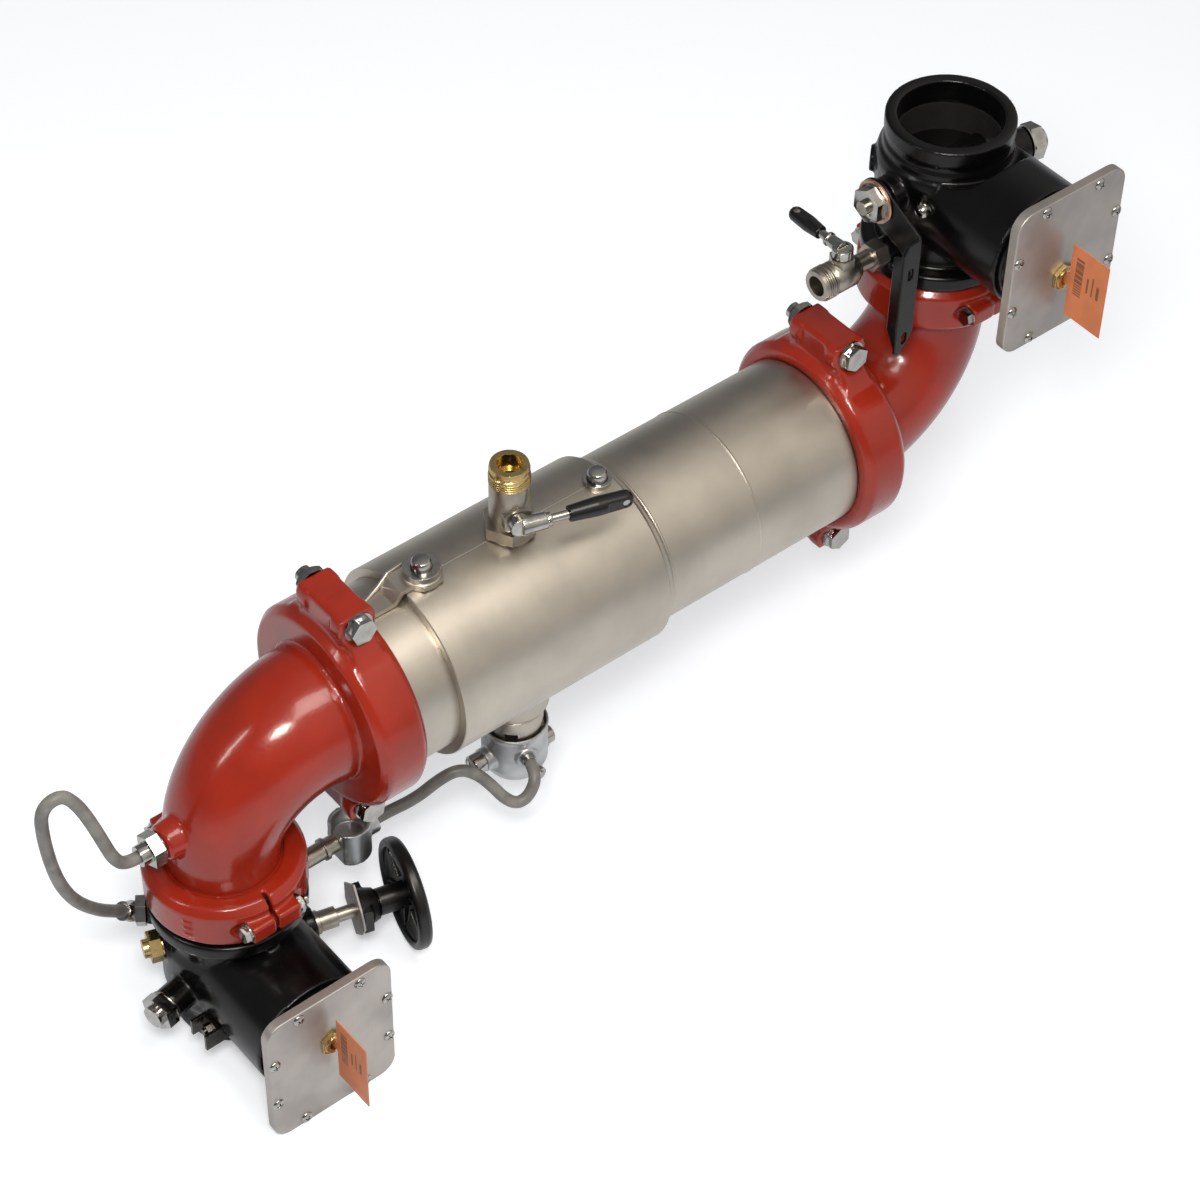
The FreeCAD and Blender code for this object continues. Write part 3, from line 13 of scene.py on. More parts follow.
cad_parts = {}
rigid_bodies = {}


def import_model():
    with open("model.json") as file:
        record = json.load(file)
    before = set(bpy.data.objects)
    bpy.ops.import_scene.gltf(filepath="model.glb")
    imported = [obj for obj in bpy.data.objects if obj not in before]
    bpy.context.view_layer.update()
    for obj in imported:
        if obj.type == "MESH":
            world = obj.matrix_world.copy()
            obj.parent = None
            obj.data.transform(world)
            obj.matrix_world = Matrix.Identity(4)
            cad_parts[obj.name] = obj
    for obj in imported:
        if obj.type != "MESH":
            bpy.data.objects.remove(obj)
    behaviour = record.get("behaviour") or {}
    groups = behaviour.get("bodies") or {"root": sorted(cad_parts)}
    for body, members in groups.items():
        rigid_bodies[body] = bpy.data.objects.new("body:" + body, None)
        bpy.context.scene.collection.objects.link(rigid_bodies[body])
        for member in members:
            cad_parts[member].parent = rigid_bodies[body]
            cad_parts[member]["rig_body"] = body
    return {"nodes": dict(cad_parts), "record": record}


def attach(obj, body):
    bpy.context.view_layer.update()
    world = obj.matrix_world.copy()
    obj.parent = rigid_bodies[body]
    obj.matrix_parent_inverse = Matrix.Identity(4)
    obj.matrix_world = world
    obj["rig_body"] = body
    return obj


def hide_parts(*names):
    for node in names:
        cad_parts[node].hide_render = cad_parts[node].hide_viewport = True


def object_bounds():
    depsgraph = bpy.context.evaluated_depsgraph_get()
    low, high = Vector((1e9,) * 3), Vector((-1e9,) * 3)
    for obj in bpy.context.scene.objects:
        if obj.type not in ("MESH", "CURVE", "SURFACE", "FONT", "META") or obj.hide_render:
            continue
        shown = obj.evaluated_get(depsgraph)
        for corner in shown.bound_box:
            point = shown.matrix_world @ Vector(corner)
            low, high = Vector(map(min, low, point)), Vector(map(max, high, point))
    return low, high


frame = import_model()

bl_info = {
    "name": "Backflow assembly looks",
    "version": (1, 1, 0),
    "blender": (4, 5, 0),
    "location": "View3D > Sidebar > Backflow",
    "description": "Dresses the packed backflow assembly with finished castings, metals, hoses "
                   "and a studio stage",
    "category": "Object",
}

CAD_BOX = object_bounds()
MM = 0.001

# Places repeated from the part's own sizes, in millimetres
RISER_SPACING = 786.0
BODY_HEIGHT = 295.0
BODY_RADIUS = 79.5
BODY_BORE = 76.0
BODY_START = 128.0
BODY_END = 658.0
BODY_LIP = 15.9
BODY_GROOVE = 8.7
GROOVE_DEPTH = 2.3
WELD_X = 521.0
SLEEVE_START = 191.0
SLEEVE_END = 421.0
SLEEVE_BORE = 79.7
SLEEVE_RADIUS = 88.0
TAP_X = 305.0
TAP_PAD_RADIUS = 20.0
RELIEF_X = 309.0
RELIEF_COLLAR_Z = 172.0
RELIEF_COLLAR_RADIUS = 31.0
RELIEF_WAY_RADIUS = 21.2
SECOND_BOLT_X = 399.0
BOLT_BOSS_RADIUS = 12.5
COVER_FRONT = 148.0
COVER_CENTRES = ((0.0, 67.5), (RISER_SPACING, 522.5))
SCREW_PLACES = ((31.0, 68.0), (57.5, 26.5))
SMALL_COUPLINGS = ((0.0, 168.0), (RISER_SPACING, 422.0))
SMALL_HALF_WIDTH = 20.0
SMALL_HOUSING_RADIUS = 70.2
LARGE_COUPLINGS = (127.0, 659.0)
LARGE_HALF_WIDTH = 21.8
INLET_LINE_BOSS = (-21.0, 0.0, 241.0)
OUTLET_LINE_BOSS = (844.4, 0.0, 349.0)
BODY_COCK_TOP = 458.2
OUTLET_COCK_MOUTH = (641.0, 472.0)
COCK_TURN = -17.0
COCK_LEVER_LINE = 27.1
COCK_STEM = Vector((TAP_X, 0.0, 410.2))
OUTLET_TANG_HOLE = Vector((669.0, 60.0, 499.1))

# Coupling bolts: radius, half the length under head and nut, distance from the pipe's axis
SMALL_BOLT = (5.0, 24.0, 69.65)
LARGE_BOLT = (8.0, 30.0, 110.0)

UP = (0, 0, 1)
ALONG = (1, 0, 0)

# Routes of the two sensing hoses, in millimetres
ELBOW_HOSE = ((-79.5, 0, 241), (-92.5, 0, 241), (-102, 0, 256.5), (-108, 1, 280), (-115, 1, 306),
              (-121, 2, 326), (-127.5, 3, 342), (-135, 5, 353), (-146.5, 7, 352),
              (-153.2, 9, 342), (-153.8, 12, 325), (-152, 15, 298), (-147, 20, 260),
              (-139, 25, 224), (-127, 30, 192), (-110, 36, 163), (-93, 41, 141),
              (-77.63, 45.06, 125.33))
RELIEF_HOSE = ((153, 0, 118), (167, 0, 118), (193, -8, 125), (214, -15, 142), (231, -22, 150),
               (244, -31, 142), (254, -39, 126), (262, -46, 110), (272, -52, 101),
               (284, -54, 106), (294.39, -50.95, 122.5), (298.53, -36.53, 122.5))


class BackflowSizes(bpy.types.PropertyGroup):
    """Sizes of the dressed pieces that a user may change"""

    cast_voxel: FloatProperty(
        name="Casting grid", description="Grid on which cast edges are rounded",
        default=1.6 * MM, unit="LENGTH")
    cast_rounds: IntProperty(
        name="Casting rounding", description="Smoothing passes that round cast edges", default=7)
    machined_bevel: FloatProperty(
        name="Machined edge", description="Width of the broken edge on turned and milled pieces",
        default=0.45 * MM, unit="LENGTH")
    tube_steps: IntProperty(
        name="Tube steps", description="Facets round the body tube and its sleeve", default=256)
    hose_radius: FloatProperty(
        name="Hose radius", description="Outer radius of both sensing hoses",
        default=5.6 * MM, unit="LENGTH")
    screw_radius: FloatProperty(
        name="Cover screw head", description="Radius of the pan head of a cover screw",
        default=5.6 * MM, unit="LENGTH")
    lens: FloatProperty(
        name="Lens", description="Focal length on a 36 mm wide sensor",
        default=97.05, unit="CAMERA")


class BackflowColours(bpy.types.PropertyGroup):
    """Colours of the finishes, as sRGB hex values"""

    stainless: StringProperty(
        name="Stainless", description="Blasted stainless steel", default="BBB4A8")
    red: StringProperty(
        name="Red enamel", description="Enamel on elbows and couplings", default="872212")
    black: StringProperty(
        name="Black epoxy", description="Coating of the valve castings", default="060606")
    cover: StringProperty(
        name="Cover steel", description="Satin sheet of the square covers", default="ABA6A1")
    zinc: StringProperty(name="Zinc", description="Zinc plated fasteners", default="A9A7A2")
    brass: StringProperty(name="Brass", description="Turned brass", default="B8A06C")
    bronze: StringProperty(
        name="Nickel bronze", description="Test cock bodies and stems", default="A39C91")
    card: StringProperty(name="Tag card", description="Orange card of the tags", default="BC7049")
    hose: StringProperty(
        name="Hose", description="Grey rubber of the sensing hoses", default="6E6C68")
    floor: StringProperty(name="Floor", description="Pale studio floor", default="E9EFF8")


def sizes():
    return bpy.context.scene.backflow_sizes


def colours():
    return bpy.context.scene.backflow_colours


# Node trees

def linear(hex_colour):
    """sRGB hex to the linear values that shaders work in"""
    values = []
    for start in (0, 2, 4):
        c = int(hex_colour[start:start + 2], 16) / 255
        values.append(c / 12.92 if c <= 0.04045 else ((c + 0.055) / 1.055) ** 2.4)
    return (*values, 1.0)


def shade(hex_colour, factor):
    """The same hue, lighter or darker"""
    levels = (round(int(hex_colour[i:i + 2], 16) * factor) for i in (0, 2, 4))
    return "".join("%02X" % max(0, min(255, level)) for level in levels)


def add_node(tree, kind, sockets=None, **settings):
    """Adds one node with its settings and links

    A socket given nodes or outputs is linked to them, and a node stands for its first output
    that its settings leave in use.
    """
    node = tree.nodes.new(kind)
    for name, value in settings.items():
        setattr(node, name, value)
    for key, value in (sockets or {}).items():
        for item in value if isinstance(value, list) else [value]:
            if isinstance(item, bpy.types.Node):
                item = next(output for output in item.outputs if output.enabled)
            if isinstance(item, bpy.types.NodeSocket):
                tree.links.new(item, node.inputs[key])
            else:
                node.inputs[key].default_value = item
    return node


def per_metre(millimetres):
    """Scale of a texture whose features are this many millimetres across"""
    return 1 / (millimetres * MM)


def material_of(name, looks):
    """Material made once; looks takes its tree and place and gives its shader's sockets"""
    material = bpy.data.materials.get(name)
    if material is None:
        material = bpy.data.materials.new(name)
        material.use_nodes = True
        tree = material.node_tree
        tree.nodes.clear()
        place = add_node(tree, "ShaderNodeTexCoord").outputs["Object"]
        shader = add_node(tree, "ShaderNodeBsdfPrincipled", looks(tree, place))
        add_node(tree, "ShaderNodeOutputMaterial", {"Surface": shader})
    return material


def mottled(tree, place, base, dark, light, size_mm):
    """Colour that drifts between two shades of one hue over patches of a given size"""
    patches = add_node(tree, "ShaderNodeTexNoise", {
        "Vector": place, "Scale": per_metre(size_mm), "Detail": 3.0})
    drift = add_node(tree, "ShaderNodeMapRange", {
        "Value": patches, "From Min": 0.35, "From Max": 0.65})
    return add_node(tree, "ShaderNodeMix", {
        0: drift, 6: linear(shade(base, dark)), 7: linear(shade(base, light))}, data_type="RGBA")


def pattern(tree, place, size_mm, low, high, detail=2.0):
    """Soft pattern of a real size that runs from low to high"""
    soft = add_node(tree, "ShaderNodeTexNoise", {
        "Vector": place, "Scale": per_metre(size_mm), "Detail": detail})
    return add_node(tree, "ShaderNodeMapRange", {"Value": soft, "To Min": low, "To Max": high})


def embossed(tree, place, size_mm, depth_mm):
    """Bump of a soft pattern of a real size"""
    soft = add_node(tree, "ShaderNodeTexNoise", {
        "Vector": place, "Scale": per_metre(size_mm), "Detail": 2.0})
    return add_node(tree, "ShaderNodeBump", {"Height": soft, "Distance": depth_mm * MM})


# Materials

def blasted_stainless():
    """Bead blasted stainless: warm grey, soft sheen, faint turning lines round the tube"""
    base = colours().stainless

    def looks(tree, place):
        patches = mottled(tree, place, base, 0.95, 1.03, 60)
        # The bead marks are 0.2 mm; they are drawn at 1.3 mm so that they show
        tone = add_node(tree, "ShaderNodeMix", {
            0: pattern(tree, place, 1.3, 0.0, 0.25), 6: patches, 7: linear(shade(base, 0.9))},
            data_type="RGBA")
        round_tube = add_node(tree, "ShaderNodeMapping", {
            "Vector": place, "Scale": (1.0, 0.03, 0.03)})
        lines = pattern(tree, round_tube, 2.5, 0.32, 0.42)
        smudges = pattern(tree, place, 28, -0.03, 0.06, 3.0)
        rough = add_node(tree, "ShaderNodeMath", {0: lines, 1: smudges}, operation="ADD")
        return {"Base Color": tone, "Metallic": 1.0, "Roughness": rough,
                "Normal": embossed(tree, place, 1.3, 0.03)}

    return material_of("stainless_bead_blasted", looks)


def red_enamel():
    """Glossy enamel on ductile iron: orange red, slight orange peel, soft flow marks"""
    def looks(tree, place):
        flow, peel = (add_node(tree, "ShaderNodeTexNoise", {
            "Vector": place, "Scale": per_metre(size_mm), "Detail": detail})
            for size_mm, detail in ((26, 3.0), (5, 2.0)))
        height = add_node(tree, "ShaderNodeMath", {0: flow, 1: 3.0, 2: peel},
                          operation="MULTIPLY_ADD")
        return {"Base Color": mottled(tree, place, colours().red, 0.94, 1.05, 55),
                "Roughness": pattern(tree, place, 9, 0.16, 0.24),
                "Normal": add_node(tree, "ShaderNodeBump", {
                    "Height": height, "Distance": 0.1 * MM}),
                "IOR": 1.4, "Coat Weight": 0.2, "Coat Roughness": 0.05}

    return material_of("red_enamel_on_casting", looks)


def black_epoxy():
    """Fusion bonded black epoxy on ductile iron: deep black, glossy, softly textured"""
    def looks(tree, place):
        return {"Base Color": mottled(tree, place, colours().black, 0.8, 1.4, 30),
                "Roughness": pattern(tree, place, 14, 0.2, 0.28),
                "Normal": embossed(tree, place, 14, 0.12), "IOR": 1.34}

    return material_of("black_epoxy_coat", looks)


def satin_metal(name, base, rough_low, rough_high, patch_mm, grain_mm, depth_mm,
                along=(1.0, 1.0, 1.0)):
    """Bare or plated metal: tone patches, a grain that may run one way, and a fine bump"""
    def looks(tree, place):
        run = add_node(tree, "ShaderNodeMapping", {"Vector": place, "Scale": along})
        return {"Base Color": mottled(tree, place, base, 0.93, 1.05, patch_mm), "Metallic": 1.0,
                "Roughness": pattern(tree, run, grain_mm, rough_low, rough_high),
                "Normal": embossed(tree, run, grain_mm, depth_mm)}

    return material_of(name, looks)


def cover_steel():
    """Satin rolled steel sheet: warm grey with a faint vertical grain"""
    return satin_metal("steel_sheet_satin", colours().cover, 0.46, 0.54, 60, 1.6, 0.012,
                       (1.0, 1.0, 0.08))


def bright_zinc():
    """Bright zinc plate on fasteners: clear reflections, slightly dulled"""
    return satin_metal("zinc_plate_bright", colours().zinc, 0.1, 0.2, 8, 1.2, 0.01)


def turned_brass():
    """Turned brass: golden, with fine tool lines"""
    return satin_metal("brass_turned", colours().brass, 0.2, 0.32, 10, 1.2, 0.02, (0.2, 0.2, 1.0))


def nickel_bronze():
    """Nickel bronze as cast and turned: warm grey with a dull sheen"""
    return satin_metal("nickel_bronze_turned", colours().bronze, 0.26, 0.38, 12, 1.4, 0.03)


def cast_aluminium():
    """Die cast aluminium: neutral grey, finely grained, dull"""
    return satin_metal("aluminium_die_cast", "B2B4B5", 0.34, 0.46, 20, 1.6, 0.04)


def oiled_steel():
    """Black oiled steel of the lock clip, worn bright in places"""
    return satin_metal("steel_black_oiled", "4E4C49", 0.2, 0.36, 9, 1.4, 0.03)


def copper_washer():
    """Soft copper sealing washer"""
    return satin_metal("copper_annealed", "C9A08A", 0.24, 0.34, 6, 1.2, 0.02)


def spring_wire():
    """Drawn stainless wire"""
    return satin_metal("stainless_spring_wire", "8F8F8F", 0.22, 0.3, 5, 1.0, 0.01)


def plain_polymer(name, base, rough_low, rough_high, grain_mm, depth_mm):
    """Moulded or dipped polymer: even colour with a fine surface"""
    def looks(tree, place):
        return {"Base Color": mottled(tree, place, base, 0.9, 1.12, 15),
                "Roughness": pattern(tree, place, grain_mm, rough_low, rough_high),
                "Normal": embossed(tree, place, grain_mm, depth_mm), "IOR": 1.45}

    return material_of(name, looks)


def moulded_black():
    """Glass filled nylon, moulded: black with a soft gloss"""
    return plain_polymer("nylon_moulded_black", "070707", 0.24, 0.36, 1.4, 0.03)


def dipped_vinyl():
    """Dip moulded vinyl of the lever grips: black with a soft gloss"""
    return plain_polymer("vinyl_dipped_black", "0C0C0C", 0.2, 0.3, 2.0, 0.03)


def grey_hose():
    """Rubber hose: warm grey, half matt"""
    return plain_polymer("rubber_hose_grey", colours().hose, 0.36, 0.5, 1.2, 0.06)


def epdm_rubber():
    """Moulded EPDM of gaskets and liners: black, matt"""
    return plain_polymer("epdm_moulded", "171717", 0.5, 0.65, 1.5, 0.05)


# Tags: height of each card's foot, the edge at the bush, and printed patches on both.
# A patch is its low and high edge, its inner and outer edge, and the pitch of its bars.
# Bars stand where the height is past 0.4 of the pitch, so a pitch of 90 is one bar from 36 up.
TAG_FEET = (43.0, 471.0)
TAG_EDGE = 156.0
TAG_INK = "3A2A22"
INK_STRENGTH = 0.7
BAR_SHARE = 0.4
PRINTED_PATCHES = ((26.0, 62.0, 6.0, 15.0, 1.3), (40.0, 66.0, 6.0, 15.0, 3.1),
                   (36.0, 52.0, 20.0, 22.0, 90.0), (36.0, 56.0, 26.0, 27.5, 90.0),
                   (36.0, 50.0, 31.5, 34.5, 90.0))


def between(tree, value, low_mm, high_mm):
    """1 where a length lies between two others, else 0"""
    above = add_node(tree, "ShaderNodeMath", {0: value, 1: low_mm * MM}, operation="GREATER_THAN")
    below = add_node(tree, "ShaderNodeMath", {0: value, 1: high_mm * MM}, operation="LESS_THAN")
    return add_node(tree, "ShaderNodeMath", {0: above, 1: below}, operation="MULTIPLY")


def printed_patch(tree, height, across, patch):
    """Bars of one pitch inside one patch of the card"""
    low, high, left, right, pitch = patch
    wave = add_node(tree, "ShaderNodeMath", {0: height, 1: pitch * MM}, operation="PINGPONG")
    bars = add_node(tree, "ShaderNodeMath", {0: wave, 1: pitch * BAR_SHARE * MM},
                    operation="GREATER_THAN")
    inside = add_node(tree, "ShaderNodeMath", {
        0: between(tree, height, low, high), 1: between(tree, across, left, right)},
        operation="MULTIPLY")
    return add_node(tree, "ShaderNodeMath", {0: bars, 1: inside}, operation="MULTIPLY")


def tag_card():
    """Orange card with plain printed bars and ruled lines, and no lettering"""
    def looks(tree, place):
        axes = add_node(tree, "ShaderNodeSeparateXYZ", {"Vector": place}).outputs
        low_foot, high_foot = TAG_FEET
        upper = add_node(tree, "ShaderNodeMath", {0: axes["X"], 1: RISER_SPACING / 2 * MM},
                         operation="GREATER_THAN")
        foot = add_node(tree, "ShaderNodeMath", {
            0: upper, 1: (high_foot - low_foot) * MM, 2: low_foot * MM}, operation="MULTIPLY_ADD")
        height = add_node(tree, "ShaderNodeMath", {0: axes["Z"], 1: foot}, operation="SUBTRACT")
        across = add_node(tree, "ShaderNodeMath", {0: -TAG_EDGE * MM, 1: axes["Y"]},
                          operation="SUBTRACT")
        marks = 0.0
        for patch in PRINTED_PATCHES:
            marks = add_node(tree, "ShaderNodeMath", {
                0: marks, 1: printed_patch(tree, height, across, patch)}, operation="MAXIMUM")
        ink = add_node(tree, "ShaderNodeMath", {0: marks, 1: INK_STRENGTH}, operation="MULTIPLY")
        card = mottled(tree, place, colours().card, 0.97, 1.03, 20)
        tone = add_node(tree, "ShaderNodeMix", {0: ink, 6: card, 7: linear(TAG_INK)},
                        data_type="RGBA")
        return {"Base Color": tone, "Roughness": pattern(tree, place, 3, 0.45, 0.55), "IOR": 1.45}

    return material_of("card_orange_printed", looks)


NODE_FINISH = {
    blasted_stainless: ("body_tube", "access_sleeve", "sleeve_strap", "relief_neck"),
    red_enamel: ("inlet_elbow", "outlet_elbow", "valve_coupling_halves", "body_coupling_halves"),
    black_epoxy: ("inlet_valve_body", "outlet_valve_body", "inlet_disc", "outlet_disc",
                  "outlet_lever"),
    cover_steel: ("cover_plates", "position_flag"),
    bright_zinc: ("sleeve_bolts", "coupling_bolts", "cover_screws", "zinc_plugs", "lever_nut",
                  "body_cock_ball", "body_cock_lever", "outlet_cock_ball", "outlet_cock_lever",
                  "relief_plugs", "hose_fittings"),
    turned_brass: ("cable_bushes", "inlet_brass_plug"),
    nickel_bronze: ("inlet_stem", "outlet_stem", "stem_glands", "body_test_cock",
                    "outlet_test_cock", "relief_stem", "first_check_clapper",
                    "second_check_clapper", "line_nipples"),
    dipped_vinyl: ("body_cock_grip", "outlet_cock_grip"),
    moulded_black: ("wheel_collar", "handwheel", "check_seats", "supervisory_switches"),
    grey_hose: ("elbow_sensing_hose", "relief_sensing_hose"),
    epdm_rubber: ("coupling_gaskets", "seat_liners", "cover_gaskets", "relief_diaphragm"),
    tag_card: ("tags",),
    cast_aluminium: ("relief_cup", "relief_cap", "sensing_tee"),
    oiled_steel: ("lock_clip",),
    spring_wire: ("relief_spring", "check_pins", "check_springs"),
}


def finish_of(node):
    for make, nodes in NODE_FINISH.items():
        if node in nodes:
            return make()
    raise RuntimeError("no finish for " + node)


def slot_of(node):
    for row in frame["record"]["subparts"]:
        if row["node"] == node:
            return row["material_slot"]
    raise RuntimeError("no slot for " + node)


# Meshes

# Corners nearer than this, in millimetres, are one; faces flatter than this, in degrees, join
MERGE_GAP = 0.004
FLAT_ANGLE = 0.4
MACHINED_ANGLE = 44.0

# Radii between which an elbow's ledge lies, and each elbow's place along x, height of the
# ledge and height of the pipe end, in millimetres
NECK_LEDGE = (48.0, 56.0)
INLET_NECK = (0.0, 193.6, 188.0)
OUTLET_NECK = (RISER_SPACING, 396.4, 402.0)
# Bars cast on, in millimetres: radius at the foot, radius at the tip, length
LINE_BOSS_BAR = (20.0, 16.5, 36.0)
LEVER_HEEL_BAR = (8.6, 7.6, 22.0)


def linked(name, mesh):
    piece = bpy.data.objects.new(name, mesh)
    bpy.context.scene.collection.objects.link(piece)
    return piece


def bake_modifiers(piece):
    """Turns the evaluated shape into the piece's own mesh and removes its modifiers"""
    bpy.context.view_layer.update()
    graph = bpy.context.evaluated_depsgraph_get()
    mesh = bpy.data.meshes.new_from_object(piece.evaluated_get(graph))
    mesh.name = piece.name
    piece.modifiers.clear()
    piece.data = mesh
    return piece


def smooth_by_angle(mesh, degrees):
    for polygon in mesh.polygons:
        polygon.use_smooth = True
    mesh.set_sharp_from_angle(angle=math.radians(degrees))


def seat_piece(piece, node):
    """Finishes a piece that stands for one CAD node"""
    piece.data.materials.clear()
    piece.data.materials.append(finish_of(node))
    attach(piece, frame["nodes"][node]["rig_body"])
    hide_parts(node)
    return piece


def merged_copy(node, name):
    """A welded copy of a CAD solid"""
    mesh = frame["nodes"][node].data.copy()
    mesh.name = name
    work = bmesh.new()
    work.from_mesh(mesh)
    bmesh.ops.remove_doubles(work, verts=work.verts, dist=MERGE_GAP * MM)
    bmesh.ops.dissolve_limit(work, angle_limit=math.radians(FLAT_ANGLE), verts=work.verts,
                             edges=work.edges)
    work.to_mesh(mesh)
    work.free()
    return linked(name, mesh)


def cast_piece(node, voxel_mm, rounds, extra=()):
    """Casting: put on a fine grid and smoothed, which rounds its corners as a mould does"""
    piece = merged_copy(node, node + "_casting")
    work = bmesh.new()
    work.from_mesh(piece.data)
    for add, values in extra:
        add(work, *values)
    work.to_mesh(piece.data)
    work.free()
    remesh = piece.modifiers.new("grid", "REMESH")
    remesh.mode = "VOXEL"
    remesh.voxel_size = voxel_mm * MM if voxel_mm else sizes().cast_voxel
    remesh.use_smooth_shade = True
    smooth = piece.modifiers.new("mould_rounds", "SMOOTH")
    smooth.iterations = rounds or sizes().cast_rounds
    smooth.factor = 0.5
    return seat_piece(bake_modifiers(piece), node)


def machined_piece(node):
    """Turned or milled piece: welded, with broken edges"""
    piece = merged_copy(node, node + "_machined")
    smooth_by_angle(piece.data, MACHINED_ANGLE)
    edge = piece.modifiers.new("broken_edge", "BEVEL")
    edge.width = sizes().machined_bevel
    edge.segments = 2
    edge.limit_method = "ANGLE"
    edge.angle_limit = math.radians(MACHINED_ANGLE)
    edge.harden_normals = True
    return seat_piece(bake_modifiers(piece), node)


def piece_from(work, name):
    """Piece made of a finished mesh"""
    mesh = bpy.data.meshes.new(name)
    work.to_mesh(mesh)
    work.free()
    return linked(name, mesh)


def turned_to(at, along):
    """Matrix that puts a shape made along +Z, in millimetres, to its place in metres"""
    turn = Vector(along).to_track_quat("Z", "Y").to_matrix().to_4x4()
    return Matrix.Translation(Vector(at) * MM) @ turn @ Matrix.Scale(MM, 4)


def box_on(work, size, place):
    """Adds a box of a size, in millimetres, to a mesh"""
    bmesh.ops.create_cube(work, size=1.0,
                          matrix=place @ Matrix.Diagonal((*(Vector(size) * MM), 1)))


def cone_on(work, start_radius, end_radius, length, at, along, segments=64):
    """Adds a round bar that starts at a point to a mesh"""
    bmesh.ops.create_cone(
        work, cap_ends=True, segments=segments, radius1=start_radius, radius2=end_radius,
        depth=length, matrix=turned_to(at, along) @ Matrix.Translation((0, 0, length / 2)))


def ring_on(work, profile, at, along, steps=128):
    """Adds a ring, turned from a closed outline of (radius, distance) points, to a mesh"""
    place = turned_to(at, along)
    rows = []
    for step in range(steps):
        angle = 2 * math.pi * step / steps
        rows.append([work.verts.new(place @ Vector((r * math.cos(angle), r * math.sin(angle), h)))
                     for r, h in profile])
    faces = []
    for step in range(steps):
        here, there = rows[step], rows[(step + 1) % steps]
        for row in range(len(profile)):
            after = (row + 1) % len(profile)
            faces.append(work.faces.new((here[row], there[row], there[after], here[after])))
    bmesh.ops.recalc_face_normals(work, faces=faces)


def turned_ring(name, profile, at, along):
    """Ring as a piece of its own"""
    work = bmesh.new()
    ring_on(work, profile, at, along, sizes().tube_steps)
    return piece_from(work, name)


def neck_run_on(work, centre_x, ledge, level):
    """Runs an elbow's neck straight to its pipe end, without the ledge over the groove"""
    inner, outer = NECK_LEDGE
    for vert in work.verts:
        radius = math.hypot(vert.co.x / MM - centre_x, vert.co.y / MM)
        if abs(vert.co.z / MM - ledge) < 0.1 and inner < radius < outer:
            vert.co.z = level * MM


def drum(name, radius, length, at, along):
    """Solid cylinder that starts at a point"""
    work = bmesh.new()
    cone_on(work, radius, radius, length, at, along, 96)
    return piece_from(work, name)


def combined(piece, others, operation):
    """Joins solids to a piece or cuts them from it, and removes them"""
    for other in others:
        step = piece.modifiers.new(other.name, "BOOLEAN")
        step.operation = operation
        step.solver = "EXACT"
        step.object = other
    bake_modifiers(piece)
    for other in others:
        bpy.data.objects.remove(other)
    return piece


# Body tube and sleeve, in millimetres

BROKEN_EDGE = 0.8
SLEEVE_FOOT = 0.7
SLEEVE_TAPER = 10.0
SEAM_RUNS = ((232.0, 284.0), (326.0, 386.0))
# Outlines of a weld bead, as (rise, step along the tube), and of two rings, as (radius, distance)
WELD_BEAD = ((0.0, -1.3), (0.45, -0.7), (0.6, 0.0), (0.45, 0.7), (0.0, 1.3))
STEM_WASHER = ((9.5, 0), (20, 0), (20.6, 0.6), (20.6, 1.8), (20, 2.4), (9.5, 2.4))
STRAP_COLLAR = ((5, 0), (17, 0), (17, 6.2), (16.4, 6.8), (5, 6.8))


def add_body_tube():
    """Rolled tube with a cut groove at each end and a weld bead at the sleeve and further on"""
    length = BODY_END - BODY_START
    low = BODY_RADIUS - GROOVE_DEPTH
    outer = [(BODY_RADIUS - BROKEN_EDGE, 0), (BODY_RADIUS, BROKEN_EDGE), (BODY_RADIUS, BODY_LIP),
             (low, BODY_LIP), (low, BODY_LIP + BODY_GROOVE), (BODY_RADIUS, BODY_LIP + BODY_GROOVE)]
    bead = [(BODY_RADIUS + rise, x - BODY_START + step)
            for x in (SLEEVE_END - WELD_BEAD[0][1], WELD_X) for rise, step in WELD_BEAD]
    far = [(r, length - h) for r, h in reversed(outer)]
    bore = [(BODY_BORE, length), (BODY_BORE, 0)]
    piece = turned_ring("body_tube_rolled", outer + bead + far + bore,
                        (BODY_START, 0, BODY_HEIGHT), ALONG)
    smooth_by_angle(piece.data, 14)
    return seat_piece(piece, "body_tube")


